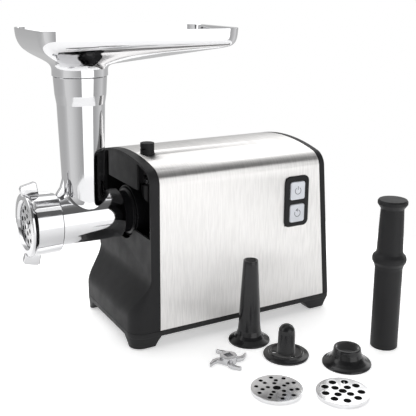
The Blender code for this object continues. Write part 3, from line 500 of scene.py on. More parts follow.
def arch(inset, z0, corner_steps=18, crown_steps=48):
    """Open outline of the roofed body section, from (+y, z0) over the roof to (-y, z0)."""
    corner_y = HALF_W - CORNER_R
    crown_cz = CROWN_Z - CROWN_R
    reach = CROWN_R - CORNER_R
    corner_z = crown_cz + math.sqrt(reach**2 - corner_y**2)
    meet = math.atan2(corner_z - crown_cz, corner_y)
    half = [(HALF_W - inset, z0)]
    for k in range(corner_steps + 1):
        a = meet * k / corner_steps
        r = CORNER_R - inset
        half.append((corner_y + r * math.cos(a), corner_z + r * math.sin(a)))
    for k in range(1, crown_steps // 2 + 1):
        a = meet + (math.pi / 2 - meet) * 2 * k / crown_steps
        r = CROWN_R - inset
        half.append((r * math.cos(a), crown_cz + r * math.sin(a)))
    return half + [(-y, z) for y, z in half[-2::-1]]


def rear_x(z):
    return REAR_X_LOW - (z - 22.0) * REAR_SLOPE


def arch_band(name, outer, inner, x_front, x_rear):
    """Bent sheet between two open outlines."""
    outline = outer + inner[::-1]
    count = len(outline)
    bm = bmesh.new()
    rows = [[bm.verts.new((f(z), y, z)) for y, z in outline] for f in (x_front, x_rear)]
    for i in range(count):
        j = (i + 1) % count
        bm.faces.new((rows[0][i], rows[0][j], rows[1][j], rows[1][i]))
    for row in rows:
        for i in range(len(outer) - 1):
            bm.faces.new((row[i], row[i + 1], row[count - 2 - i], row[count - 1 - i]))
    return mesh_object(name, bm)


def panel_x(z):
    """Front face of the housing: upright above, sweeping forward to the base."""
    return PANEL_X + (FRONT_X - PANEL_X) * smoothstep((90.0 - z) / 50.0)


def plan_ring(front, half_w, radius, z, inset, rear, steps=12):
    """Level outline of the front housing: rounded at the front, straight at the rear."""
    r = max(radius - inset, 0.6)
    x0 = front + inset
    w = half_w - inset
    points = [(rear, w, z)]
    for k in range(steps + 1):
        a = math.radians(90.0 * k / steps)
        points.append((x0 + r - r * math.sin(a), w - r + r * math.cos(a), z))
    points += [(x, -y, z) for x, y, _ in points[::-1]]
    return points


def flare(name, inset, rear, z_low, z_high):
    """Lower half of the front housing, whose corners grow rounder towards the base."""
    rings = []
    levels = 40
    for k in range(levels + 1):
        z = z_low + (z_high - z_low) * k / levels
        grow = smoothstep((92.0 - z) / 52.0)
        rings.append(plan_ring(panel_x(z), HALF_W, 1.5 + 18.0 * grow, z, inset, rear))
    return loft(name, rings)


def pocket_outline(side):
    """Opening between the centre block, the side arm and the roof."""
    points = [(y, z) for y, z in arch(ARM, BLOCK_Z) if y > BLOCK_Y + 0.5]
    points.append((BLOCK_Y, CROWN_Z - CROWN_R + math.sqrt((CROWN_R - ARM) ** 2 - BLOCK_Y**2)))
    points.append((BLOCK_Y, BLOCK_Z))
    return points if side > 0 else [(-y, z) for y, z in points[::-1]]


def build_front():
    body = prism("front_housing_skin", arch(0.0, 90.0), "x", PANEL_X, STRIP_X)
    join(body, flare("flare", 0.0, STRIP_X, SHELL_Z, 92.0))
    cavity = prism("cavity", arch(2.8, 88.0), "x", PANEL_X + 3.0, STRIP_X + 8.0)
    join(cavity, flare("low_cavity", 2.8, STRIP_X + 8.0, SHELL_Z - 3.0, 90.5))
    cut(body, cavity)
    for side in (-1, 1):
        cut(body, prism("pocket", pocket_outline(side), "x", PANEL_X - 1.0, PANEL_X + 3.5))
    y = HALF_W - ARM
    gap = [(-y, OPEN_Z), (y, OPEN_Z), (y, BLOCK_Z + 0.4), (-y, BLOCK_Z + 0.4)]
    cut(body, prism("gap", gap, "x", PANEL_X - 1.0, PANEL_X + 3.5))
    cut(body, rod("hole", "x", (0.0, HEAD_Z), 35.6, PANEL_X - 2.0, PANEL_X + 6.0, 128))
    soften(body, 0.8, 3, 40.0)
    finish(body, "machine", "plastic", ["front_housing"], 30.0)


def build_cover():
    """Bent steel sheet; its inner faces take a near-black painted shade."""
    cover = arch_band(
        "cover_skin", arch(0.0, SHELL_Z), arch(1.2, SHELL_Z), lambda z: COVER_X0, rear_x
    )
    window = box("window", 57.6, 93.4, -90.0, -80.0, 131.6, 198.4)
    knob_hole = rod("knob_hole", "z", KNOB, 9.6, 220.0, 250.0, 64)
    cut(cover, window, knob_hole)
    soften(cover, 0.3, 2, 50.0)
    finish(cover, "machine", "cover", ["steel_cover"], 30.0)
    # Painted shade: the faces on the inside of the sheet take the near-black pocket material.
    cover.data.materials.append(MATS["pocket"])
    for face in cover.data.polygons:
        outward = Vector((0.0, face.center.y - SHIFT[1] * MM, face.center.z - 0.1)).dot(face.normal)
        face.material_index = int(abs(face.normal.x) < 0.5 and outward < 0.0)


def build_rear():
    outline = arch(0.0, SHELL_Z)
    rings = [[(rear_x(z) + 0.4, y, z) for y, z in outline]]
    for k in range(7):
        a = math.radians(90.0 * k / 6)
        ring = []
        for (y, z), (yi, zi) in zip(outline, arch(2.6 * (1 - math.cos(a)), SHELL_Z)):
            ring.append((rear_x(zi) + REAR_T - 2.6 + 2.6 * math.sin(a), yi, zi))
        rings.append(ring)
    body = loft("rear_housing_skin", rings)
    inner = arch(2.8, SHELL_Z - 3.0)
    cavity = loft("cavity", [[(rear_x(z) + w, y, z) for y, z in inner] for w in (-8.0, REAR_T - 3.0)])
    cut(body, cavity)
    slots = []
    for k in range(7):
        z = 92.0 + 9.0 * k
        slots.append(prism("slot", rounded_rect(-45.0, 45.0, z, z + 3.6, 1.75, 5), "x", 90.0, 150.0))
    slots.append(rod("inlet", "x", INLET, 9.4, 110.0, 150.0, 48))
    cut(body, *slots)
    finish(body, "machine", "plastic", ["rear_housing"], 30.0)
    x = rear_x(INLET[1]) + REAR_T
    profile = [(3.6, x - 13.0), (8.8, x - 13.0), (8.8, x + 1.5), (11.0, x + 1.5), (11.0, x + 3.6)]
    profile += [(6.6, x + 4.6), (5.6, x + 9.0), (3.6, x + 9.0)]
    gland = turned("inlet_gland", "x", INLET, profile, 0.5, 48)
    finish(gland, "machine", "rubber", ["cord_inlet"])


# Each foot is (end, side): -1 is the front or the control side.
FEET = ((-1, -1), (-1, 1), (1, -1), (1, 1))
# Far and near edge at the top of the foot, then at its sole.
FOOT_FRONT = (-164.5, -124.0, -163.2, -131.5)
FOOT_REAR = (94.0, 137.8, 106.0, 134.0)
FOOT_Y = (84.5, 53.5, 83.2, 63.5)
# (height, how far the foot has narrowed): the sole is rounded below 3 mm.
FOOT_STEPS = ((2.0, 1.1), (2.3, 1.06), (3.0, 1.0), (5.0, 0.87))
FOOT_STEPS += ((8.0, 0.63), (11.0, 0.35), (13.6, 0.1), (15.5, 0.0))
SCREWS = ((-100.0, -60.0), (-100.0, 60.0), (76.0, -60.0), (76.0, 60.0))


def foot_block(end, side):
    """Corner foot with sloping inner faces and a rounded sole."""
    span = FOOT_FRONT if end < 0 else FOOT_REAR
    rings = []
    for z, t in FOOT_STEPS:
        x0, x1 = (span[k] + (span[k + 2] - span[k]) * t for k in (0, 1))
        far, near = (side * (FOOT_Y[k] + (FOOT_Y[k + 2] - FOOT_Y[k]) * t) for k in (0, 1))
        outer = min(19.2 - 3.0 * t, abs(far - near) - 3.6) if end < 0 else 3.6 + 2.0 * t
        radii = [3.0, 3.0, 3.0, 3.0]
        radii[(1 if side > 0 else 2) if end < 0 else (0 if side > 0 else 3)] = outer
        outline = corner_outline(x0, x1, min(far, near), max(far, near), radii, 8)
        rings.append([(x, y, z) for x, y in outline])
    return loft("foot", rings)


def base_outline(inset, z):
    """Level outline of the base, with large corners at the front."""
    rear = max(4.0 - inset, 0.8)
    radii = (rear, 20.0 - inset, 20.0 - inset, rear)
    outline = corner_outline(FRONT_X + inset, REAR_X - inset, -HALF_W + inset, HALF_W - inset, radii, 12)
    return [(x, y, z) for x, y in outline]


def build_base():
    edge = []
    for a in (0.0, 0.5, 1.0, 1.57):
        edge.append(base_outline(1.6 - 1.6 * math.sin(a), BASE_Z0 + 2.0 - 2.0 * math.cos(a)))
    body = loft("base_skin", edge + [base_outline(0.0, 21.6), base_outline(0.4, 22.0)])
    cut(body, loft("well", [base_outline(3.2, BASE_Z0 + 3.0), base_outline(3.2, 26.0)]))
    join(body, *[foot_block(*foot) for foot in FEET])
    cutters = []
    for k in range(6):
        x = -42.0 + 14.0 * k
        cutters.append(box("vent", x, x + 5.0, -30.0, 30.0, 0.0, 20.0))
    for spot in SCREWS:
        cutters.append(rod("screw_hole", "z", spot, 2.6, 0.0, 30.0, 24))
        cutters.append(rod("screw_sink", "z", spot, 4.7, 0.0, BASE_Z0 + 1.0, 24))
    pads = []
    for end, side in FEET:
        span = FOOT_FRONT if end < 0 else FOOT_REAR
        pads.append(((span[2] + span[3]) / 2, side * (FOOT_Y[2] + FOOT_Y[3]) / 2))
    for spot in pads:
        cutters.append(rod("pad_hole", "z", spot, 7.6, 0.0, 4.4, 32))
    cut(body, *cutters)
    finish(body, "machine", "plastic_dark", ["base_tray"], 32.0)
    pad_profile = [(0.0, 0.0), (6.8, 0.0, 1.0), (7.0, 4.0), (0.0, 4.0)]
    for k, spot in enumerate(pads, 1):
        pad = turned("pad_%d" % k, "z", spot, pad_profile, 0.0, 32)
        finish(pad, "machine", "rubber", ["foot_pad_%d" % k])
    screw_profile = [(0.0, 11.8), (4.2, 11.8, 1.2), (4.2, 14.8), (2.2, 14.8), (2.2, 21.6), (0.0, 21.6)]
    for k, (x, y) in enumerate(SCREWS, 1):
        screw = turned("screw_%d" % k, "z", (x, y), screw_profile, 0.0, 32)
        cut(screw, box("slot", x - 2.6, x + 2.6, y - 0.5, y + 0.5, 11.0, 13.2))
        finish(screw, "machine", "ground", ["base_screw_%d" % k])


# ---------------------------------------------------------------- controls


def build_controls():
    x0, x1, z0, z1 = BEZEL
    rings = []
    for depth, inset in ((0.3, 0.0), (1.5, 0.0), (1.9, 0.15), (2.2, 0.45), (2.4, 0.9)):
        outline = rounded_rect(x0 + inset, x1 - inset, z0 + inset, z1 - inset, 8.0 - inset)
        rings.append([(x, -HALF_W - depth, z) for x, z in outline])
    bezel = loft("bezel_skin", rings)
    join(bezel, box("neck", 58.2, 92.8, -HALF_W - 1.0, -62.0, 132.2, 197.8))
    wells = [box("well", 60.2, 90.8, -80.0, -50.0, 120.0, 210.0)]
    for low in WELL_LOWS:
        outline = rounded_rect(*WELL_X, low, low + WELL_H, 3.6, 6)
        wells.append(prism("well", outline, "y", -HALF_W - 4.0, -70.0))
    cut(bezel, *wells)
    finish(bezel, "machine", "plastic", ["control_bezel"], 30.0)
    x0, x1 = BUTTON_X
    for name, low in BUTTON_LOWS:
        high = low + BUTTON_H
        rings = []
        for depth, inset in ((-4.0, 0.0), (2.6, 0.0), (3.1, 0.15), (3.5, 0.5), (3.65, 1.0)):
            radius = 3.0 - inset * 0.6
            outline = rounded_rect(x0 + inset, x1 - inset, low + inset, high - inset, radius, 6)
            rings.append([(x, -HALF_W - depth, z) for x, z in outline])
        face = loft(name + "_skin", rings)
        join(face, box("stem", 75.0, 80.0, -82.0, -74.2, low + 9.8, low + 14.8))
        finish(face, name, "button", [name], 30.0)
        icon(name, (x0 + x1) / 2, low + BUTTON_H / 2)


def arc_strip(centre, radius, width, start, end, steps=28):
    """Flat curved strip in the plane of the button face."""
    angles = [math.radians(start + (end - start) * k / steps) for k in range(steps + 1)]

    def edge(r, order):
        return [(centre[0] + r * math.cos(a), centre[1] + r * math.sin(a)) for a in order]

    return edge(radius + width / 2, angles) + edge(radius - width / 2, angles[::-1])


def icon(name, x, z):
    """Generic signs: a circle with a bar for power, a turning arrow for reverse."""
    y0, y1 = -HALF_W - 3.72, -HALF_W - 3.5
    if name == "power_button":
        shapes = [arc_strip((x, z), 4.6, 1.0, 122.0, 418.0)]
        shapes.append([(x - 0.5, z + 1.2), (x + 0.5, z + 1.2), (x + 0.5, z + 6.4), (x - 0.5, z + 6.4)])
    else:
        shapes = [arc_strip((x, z), 4.6, 1.0, 150.0, 430.0)]
        shapes.append([(x + 0.4, z + 6.9), (x + 0.4, z + 2.1), (x - 3.4, z + 4.4)])
    parts = [prism("%s_sign_%d" % (name, k), shape, "y", y0, y1) for k, shape in enumerate(shapes)]
    for part in parts:
        finish(part, name, "icon")


def build_lock():
    """Pin, collar for the spring and knob in one piece, with a slot across the knob's front."""
    pin = [(0.0, 176.0), (3.0, 176.0), (3.6, 177.0), (3.6, 206.0)]
    collar = [(5.6, 206.0), (5.6, 208.0), (3.6, 208.0), (3.6, 232.0)]
    cap = [(9.0, 232.0), (9.0, KNOB_Z, 0.8), (0.0, KNOB_Z)]
    knob = turned("lock_knob_skin", "z", KNOB, pin + collar + cap, 0.0, 64)
    x, y = KNOB
    cut(knob, box("notch", x - 12.0, x - 5.0, y - 12.0, y + 12.0, 243.6, 245.4))
    finish(knob, "lock_button", "plastic", ["lock_knob"], 30.0)


def build_socket():
    """Bulkhead with the sleeve that takes the head's neck."""
    bulkhead = prism("socket_skin", arch(4.4, 44.0), "x", -96.0, -92.3)
    profile = [(0.0, -133.5), (33.8, -133.5, 0.5)]
    profile += [(33.8, -123.3), (33.4, -123.1), (33.4, -122.6), (33.8, -122.4)]
    profile += [(33.8, -94.0), (0.0, -94.0)]
    sleeve = turned("sleeve", "x", (0.0, HEAD_Z), profile, 0.0, 128)
    join(bulkhead, sleeve, rod("boss", "z", KNOB, 8.4, 168.0, 197.0, 32))
    bore = turned(
        "bore",
        "x",
        (0.0, HEAD_Z),
        [(0.0, -140.0), (32.6, -140.0), (32.6, -132.6), (SOCKET_R, -131.0), (SOCKET_R, -98.0), (0.0, -98.0)],
    )
    cutters = [bore, rod("pin_hole", "z", KNOB, 4.2, 170.0, 205.0, 32)]
    cutters.append(rod("seat", "z", KNOB, 7.0, 195.8, 215.0, 32))
    cutters.append(rod("shaft", "x", (0.0, HEAD_Z), 13.4, -100.0, -90.0, 48))
    for axle in ("gear_axle_1", "gear_axle_2"):
        lo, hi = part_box(axle)
        y = (lo.y + hi.y) / 2 / MM - SHIFT[1]
        z = (lo.z + hi.z) / 2 / MM
        cutters.append(rod("axle_hole", "x", (y, z), 3.9, -100.0, -90.0, 24))
    cut(bulkhead, *cutters)
    finish(bulkhead, "machine", "socket", ["head_socket"], 30.0)


# ---------------------------------------------------------------- head


def tube_radius(z):
    """Outer radius of the feed tube at a height."""
    points = ((158.0, 25.8), (205.0, 26.3), (300.0, 29.2), (304.0, 29.8), (316.0, 31.4), (337.6, 32.8))
    for (z0, r0), (z1, r1) in zip(points, points[1:]):
        if z <= z1:
            return r0 + (r1 - r0) * (z - z0) / (z1 - z0)
    return points[-1][1]


def junction_fillet(size=7.0, count=96, steps=8):
    """Closed collar that rounds the corner where the feed tube meets the barrel."""
    rings = []
    for k in range(count):
        a = 2 * math.pi * k / count
        c, s = math.cos(a), math.sin(a)
        r = tube_radius(186.0)
        y = r * s
        z = HEAD_Z + math.sqrt(max(BARREL_R**2 - y * y, 1.0))
        corner = Vector((TUBE_X + r * c, y, z))
        top_r = tube_radius(z + size)
        top = Vector((TUBE_X + top_r * c, top_r * s, z + size))
        reach = size * (0.35 + 0.65 * abs(c))
        y_low = min(abs(y) + reach * abs(s) * 0.4, BARREL_R - 0.15) * (1 if s >= 0 else -1)
        low = Vector((TUBE_X + (r + reach) * c, y_low, HEAD_Z + math.sqrt(max(BARREL_R**2 - y_low**2, 0.5))))
        ring = []
        for t in range(steps + 1):
            u = t / steps
            p = top * (1 - u) ** 2 + corner * 2 * u * (1 - u) + low * u * u
            ring.append(tuple(p))
        ring.append((TUBE_X + (r + reach) * c * 0.9, y_low * 0.85, HEAD_Z + 6.0))
        ring.append((TUBE_X + (r - 6.0) * c, (r - 6.0) * s, HEAD_Z + 6.0))
        ring.append((TUBE_X + (top_r - 6.0) * c, (top_r - 6.0) * s, z + size))
        rings.append(ring)
    return loft("collar", rings, closed_ends=False)


def build_head():
    outer = turned(
        "head_skin",
        "x",
        (0.0, HEAD_Z),
        [
            (0.0, -265.0),
            (31.6, -265.0, 0.5),
            (31.6, -231.5),
            (BARREL_R, -229.5, 0.5),
            (BARREL_R, -149.0, 0.8),
            (31.0, -148.0, 0.3),
            (27.0, -148.0, 1.0),
            (27.0, -136.0, 1.0),
            (NECK_R, -135.0, 0.4),
            (NECK_R, -119.6),
            (20.0, -119.6),
            (20.0, -108.4),
            (NECK_R, -108.4),
            (NECK_R, -101.0),
            (29.0, -99.0),
            (0.0, -99.0),
        ],
        0.0,
        128,
    )
    tube = turned(
        "tube",
        "z",
        (TUBE_X, 0.0),
        [
            (0.0, HEAD_Z),
            (25.8, HEAD_Z),
            (26.3, 205.0, 10.0),
            (29.5, 304.0, 0.7),
            (31.4, 315.6, 0.7),
            (32.8, 337.6, 0.8),
            (0.0, 337.6),
        ],
        0.0,
        128,
        6,
    )
    web = [(-228.8, 182.0), (-206.0, 178.0), (-206.0, 228.0)]
    web += [(-218.4, 228.0, 6.0), (-219.8, 212.0, 12.0), (-223.0, 201.0, 8.0), (-228.8, 193.0, 3.0)]
    rib = prism("rib", round_corners(web, 0.0, 6), "y", -3.0, 3.0)
    soften(rib, 1.4, 4, 50.0)
    join(outer, tube, junction_fillet(), rib)
    bore = turned(
        "bore",
        "x",
        (0.0, HEAD_Z),
        [
            (0.0, -270.0),
            (29.4, -270.0),
            (29.4, -260.6),
            (27.4, -260.6),
            (27.4, -163.0),
            (11.0, -158.0),
            (11.0, -118.0),
            (13.6, -116.0),
            (13.6, -90.0),
            (0.0, -90.0),
        ],
    )
    chute = turned(
        "chute",
        "z",
        (TUBE_X, 0.0),
        [
            (0.0, HEAD_Z),
            (21.5, HEAD_Z),
            (22.4, 205.0, 6.0),
            (25.4, 300.0, 6.0),
            (28.6, 318.0, 4.0),
            (30.6, 345.0),
            (0.0, 345.0),
        ],
    )
    cut(outer, bore, chute)
    finish(outer, "head", "chrome", ["head_casting"], 40.0)
    outer.data.materials.append(MATS["socket"])
    for face in outer.data.polygons:
        face.material_index = int(face.center.x > (SHIFT[0] + NECK_X) * MM)


def sweep_wing(turn):
    """One of the nut's wings, turned round the head's axis."""
    a = math.radians(turn)
    wing = [(-271.5, 36.5), (-274.0, 46.0, 2.0), (-272.5, 49.5, 2.5)]
    wing += [(-256.0, 53.5, 3.0), (-253.4, 52.0, 2.5), (-250.5, 36.5)]
    rings = []
    for w in (-2.6, 2.6):
        ring = []
        for x, r in round_corners(wing, 0.0, 6):
            y = r * math.cos(a) - w * math.sin(a)
            up = r * math.sin(a) + w * math.cos(a)
            ring.append((x, y, HEAD_Z + up))
        rings.append(ring)
    return soften(loft("wing", rings), 1.0, 3, 50.0)


def sweep_boss(turn):
    """One of the nut's low grip ribs."""
    a = math.radians(turn)
    rings = []
    for x, r, half in ((-266.0, 36.5, 7.0), (-262.0, 39.5, 6.0), (-232.6, 38.8, 5.5), (-230.4, 36.0, 7.0)):
        ring = []
        for u, w in ((33.2, -half - 3.0), (r, -half), (r, half), (33.2, half + 3.0)):
            ring.append((x, u * math.cos(a) - w * math.sin(a), HEAD_Z + u * math.sin(a) + w * math.cos(a)))
        rings.append(ring)
    return soften(loft("boss", rings), 0.8, 3, 20.0)


def build_nut():
    nut = turned(
        "ring_nut_skin",
        "x",
        (0.0, HEAD_Z),
        [
            (31.0, NUT_X0, 0.5),
            (38.6, NUT_X0, 0.8),
            (39.5, NUT_X0 + 1.0, 0.6),
            (39.5, NUT_X0 + 3.0, 0.6),
            (36.0, NUT_X0 + 8.0, 2.0),
            (35.0, NUT_X1 - 1.0, 0.4),
            (34.2, NUT_X1),
            (32.2, NUT_X1),
            (32.2, NUT_X0 + 3.7),
            (28.2, NUT_X0 + 3.7),
            (28.2, NUT_X0 + 2.6, 0.5),
        ],
        0.0,
        128,
    )
    join(nut, *[sweep_wing(t) for t in (90.0, 270.0)], *[sweep_boss(t) for t in (52.0, 128.0, 232.0, 308.0)])
    finish(nut, "ring_nut", "nut", ["ring_nut"], 35.0)


def plate(name, node, body, axis, centre, w0, w1, holes, radius=29.0, middle=4.6):
    """Perforated disc with rounded edges."""
    disc_body = turned(name, axis, centre, [(0.0, w0), (radius, w0, 0.5), (radius, w1, 0.5), (0.0, w1)])
    cutters = [rod("centre", axis, centre, middle, w0 - 2.0, w1 + 2.0, 40)]
    for circle, count, hole, turn in holes:
        for spot in disc(circle, count, centre, math.radians(turn)):
            cutters.append(rod("hole", axis, spot, hole, w0 - 2.0, w1 + 2.0, 24))
    cut(disc_body, *cutters)
    finish(disc_body, body, "ground_flat" if axis == "z" else "ground", [node], 30.0)
    # Painted shade: the walls of the holes take the near-black pocket material, so the holes show dark.
    disc_body.data.materials.append(MATS["pocket"])
    along = 2 if axis == "z" else 0
    hub = Vector(on_axis(axis, *centre, 0.0)) * MM + Vector(SHIFT) * MM
    for face in disc_body.data.polygons:
        offset = face.center - hub
        offset[along] = 0.0
        face.material_index = int(abs(face.normal[along]) < 0.3 and offset.length < (radius - 1.0) * MM)


def knife(name, node, body, centre, w0, w1, rim, hole):
    """Four swept blades with a bevelled cutting edge round a raised hub."""
    back = ((9.5, -40.0), (14.0, -33.0), (19.5, -21.0), (rim, 0.0))
    edge = ((rim, 7.0), (19.5, -3.0), (14.0, -8.0))
    points = []
    for k in range(4):
        a = math.radians(90.0 * k)
        for r, turn in back + edge:
            b = a + math.radians(turn)
            points.append((centre[0] + r * math.cos(b), centre[1] + r * math.sin(b)))
    blade = soften(prism(name, points, "z", w0, w1), 0.9, 3, 40.0)
    top = w1 + 4.0
    hub = turned("hub", "z", centre, [(0.0, w0), (10.6, w0, 0.6), (10.6, top, 1.0), (0.0, top)], 0.0, 48)
    join(blade, hub)
    cut(blade, prism("square", disc(hole * math.sqrt(2), 4, centre, math.pi / 4), "z", w0 - 5.0, w1 + 5.0))
    finish(blade, body, "ground", [node], 30.0)


# ---------------------------------------------------------------- tray


def tray_outline():
    """Points round the rim, also close together along the straight sides."""
    outline = rounded_rect(TRAY_X0, TRAY_X1, -TRAY_HALF_W, TRAY_HALF_W, TRAY_CORNER_R, 14)
    dense = []
    for k, (x, y) in enumerate(outline):
        nx, ny = outline[(k + 1) % len(outline)]
        steps = max(1, int(math.hypot(nx - x, ny - y) / 6.0))
        for s in range(steps):
            dense.append((x + (nx - x) * s / steps, y + (ny - y) * s / steps))
    return dense


TRAY_RIM = tray_outline()


def rim_point(x, y, inset):
    """Moves a point of the rim inwards, towards its corner's centre or straight in."""
    cx = min(max(x, TRAY_X0 + TRAY_CORNER_R), TRAY_X1 - TRAY_CORNER_R)
    cy = min(max(y, -TRAY_HALF_W + TRAY_CORNER_R), TRAY_HALF_W - TRAY_CORNER_R)
    span = math.hypot(x - cx, y - cy)
    k = max(span - inset, 0.0) / span
    return cx + (x - cx) * k, cy + (y - cy) * k


def tray_section(x, y):
    """Closed wall section of the tray on one ray, as (point, rounding) pairs: outside down, inside up."""
    a = math.atan2(y, x - TUBE_X)
    t = (x - TRAY_X0) / (TRAY_X1 - TRAY_X0)

    def wall(inset, drop, inset_end=None, drop_end=None):
        inset += t * ((inset if inset_end is None else inset_end) - inset)
        drop += t * ((drop if drop_end is None else drop_end) - drop)
        px, py = rim_point(x, y, inset)
        return (px, py, RIM_Z - drop)

    def neck(r, z):
        return (TUBE_X + r * math.cos(a), r * math.sin(a), z)

    return [
        (wall(1.5, 0.9), 0.4),
        (wall(0.0, 0.0), 0.8),
        (wall(0.0, 2.4), 1.0),
        (wall(0.9, 11.0), 4.0),
        (wall(3.4, 18.5, 2.5, 17.0), 4.0),
        (wall(8.2, 25.5, 6.0, 21.5), 4.0),
        (wall(17.7, 32.5, 12.0, 24.0), 9.0),
        (neck(34.0, 351.0), 7.0),
        (neck(34.0, 338.4), 0.6),
        (neck(29.6, 338.4), 0.4),
        (neck(27.6, 324.0), 0.5),
        (neck(26.2, 324.0), 0.5),
        (neck(28.0, 352.0), 3.0),
        (neck(33.0, 354.4), 3.0),
        (wall(18.3, 30.6, 12.6, 22.1), 5.0),
        (wall(9.4, 24.0, 7.2, 20.0), 4.0),
        (wall(5.0, 17.8, 4.2, 16.2), 4.0),
        (wall(2.6, 10.8), 4.0),
    ]


def fillet_path(points, steps=6):
    """Rounds a closed 3-D outline whose points carry a reach in millimetres."""
    count = len(points)
    result = []
    for k, (here, reach) in enumerate(points):
        here = Vector(here)
        before = Vector(points[k - 1][0]) - here
        after = Vector(points[(k + 1) % count][0]) - here
        if reach <= 0.0:
            for _ in range(steps + 1):
                result.append(tuple(here))
            continue
        ra = min(reach, before.length * 0.45)
        rb = min(reach, after.length * 0.45)
        start = here + before.normalized() * ra
        end = here + after.normalized() * rb
        for s in range(steps + 1):
            t = s / steps
            result.append(tuple(start * (1 - t) ** 2 + here * 2 * t * (1 - t) + end * t * t))
    return result


def build_tray():
    sections = [fillet_path(tray_section(x, y)) for x, y in TRAY_RIM]
    tray = loft("tray_skin", sections, closed_ends=False)
    finish(tray, "tray", "tray", ["hopper_tray"], 50.0)


# ---------------------------------------------------------------- attachments


def build_attachments():
    pusher = turned(
        "pusher_skin",
        "z",
        (126.0, -215.0),
        [
            (16.6, 0.0, 0.4),
            (17.1, 1.0, 0.4),
            (17.1, 105.0, 3.0),
            (18.2, 110.0, 3.0),
            (20.8, 114.4, 2.0),
            (21.2, 117.4, 2.0),
            (20.4, 121.0, 2.0),
            (17.0, 124.6, 2.0),
            (16.1, 128.0, 2.0),
            (15.5, 148.0, 20.0),
            (14.7, 172.0, 8.0),
            (14.2, 182.0, 3.0),
            (16.6, 185.4, 1.5),
            (18.4, 188.0, 1.5),
            (18.4, 191.4, 1.0),
            (17.0, 193.4, 1.0),
            (0.0, 193.4),
            (0.0, 174.0),
            (10.5, 172.0, 2.0),
            (13.4, 118.0),
            (14.4, 0.0),
        ],
    )
    finish(pusher, "pusher", "matte", ["pusher"], 30.0)
    tube = turned(
        "sausage_tube_skin",
        "z",
        (-18.0, -121.0),
        [
            (18.6, 0.0),
            (26.2, 0.0, 0.4),
            (26.8, 1.0, 0.4),
            (26.4, 2.6, 0.6),
            (23.6, 4.2, 2.0),
            (19.4, 6.6, 2.5),
            (16.5, 10.4, 3.0),
            (14.9, 16.0, 4.0),
            (13.9, 26.0, 6.0),
            (12.9, 50.0),
            (9.8, 104.0),
            (9.2, 109.6, 0.3),
            (8.0, 109.6, 0.3),
            (7.8, 107.0, 0.3),
            (11.4, 50.0),
            (12.8, 17.0, 3.0),
            (15.0, 7.0, 2.0),
        ],
    )
    finish(tube, "sausage_tube", "gloss", ["sausage_tube"], 30.0)
    cone = turned(
        "kubbe_cone_skin",
        "z",
        (0.0, -178.0),
        [
            (25.6, 0.0),
            (28.0, 0.0, 0.4),
            (28.4, 2.4, 0.5),
            (27.4, 3.4, 0.5),
            (22.0, 4.0, 0.4),
            (21.4, 6.4, 0.5),
            (19.2, 6.4, 0.5),
            (18.8, 4.2, 0.3),
            (10.9, 4.2, 0.8),
            (10.4, 30.0, 4.0),
            (9.7, 35.4, 3.0),
            (7.4, 38.9, 3.0),
            (4.2, 41.0, 3.0),
            (0.0, 41.5),
            (0.0, 38.4),
            (5.6, 36.8, 1.0),
            (8.2, 32.0, 2.0),
            (8.8, 8.0),
            (10.4, 2.2, 0.5),
            (25.2, 1.8),
        ],
    )
    spots = disc(14.9, 3, (0.0, -178.0), math.radians(30.0))
    cut(cone, *[rod("opening", "z", spot, 3.2, -2.0, 5.5, 32) for spot in spots])
    finish(cone, "kubbe_cone", "gloss", ["kubbe_cone"], 30.0)
    ring = turned(
        "kubbe_ring_skin",
        "z",
        (53.0, -230.0),
        [
            (27.2, 0.0),
            (29.6, 0.0, 0.4),
            (29.8, 1.4, 0.4),
            (29.0, 2.8, 0.6),
            (25.4, 4.4, 2.0),
            (21.6, 7.2, 2.5),
            (18.6, 11.0, 2.5),
            (17.0, 16.0, 3.0),
            (16.4, 20.4, 0.6),
            (15.6, 21.6, 0.4),
            (13.4, 21.6, 0.4),
            (13.2, 19.0, 0.6),
            (14.8, 10.0, 2.0),
            (19.0, 4.4, 1.5),
            (26.6, 1.6),
        ],
    )
    finish(ring, "kubbe_ring", "gloss", ["kubbe_ring"], 30.0)
    knife("spare_knife_skin", "spare_knife", "spare_knife", (-72.0, -159.0), 0.0, 5.4, 26.6, 4.8)
    # Hole circles as (circle's radius, number of holes, hole's radius, turn in degrees).
    fine = [(10.0, 5, 2.5, 0.0), (16.6, 7, 2.5, 8.0), (23.2, 10, 2.5, 0.0)]
    coarse = [(10.0, 4, 4.2, 20.0), (20.6, 9, 4.4, 5.0)]
    plate("fine_plate_skin", "fine_plate", "fine_plate", "z", (-60.0, -245.0), 0.0, 5.0, fine, 29.6)
    plate("coarse_plate_skin", "coarse_plate", "coarse_plate", "z", (1.0, -286.0), 0.0, 5.0, coarse, 30.0)
    fitted = [(11.0, 6, 2.9, 30.0), (21.0, 11, 3.1, 8.0)]
    plate("fitted_plate_skin", "grinding_plate", "plate", "x", (0.0, HEAD_Z), -266.0, -261.0, fitted)


# ---------------------------------------------------------------- studio


def area_light(name, location, target, size, power):
    data = bpy.data.lights.new(name, "AREA")
    data.shape = "RECTANGLE"
    data.size, data.size_y = size
    data.energy = power
    light = bpy.data.objects.new(name, data)
    SCENE.collection.objects.link(light)
    light.location = location
    aim = Vector(target) - Vector(location)
    light.rotation_euler = aim.to_track_quat("-Z", "Y").to_euler()
    return light


# Hidden from mirror-like rays: the photograph doesn't show them in the steel side.
LOOSE = ("pusher_skin", "sausage_tube_skin", "kubbe_cone_skin", "kubbe_ring_skin")


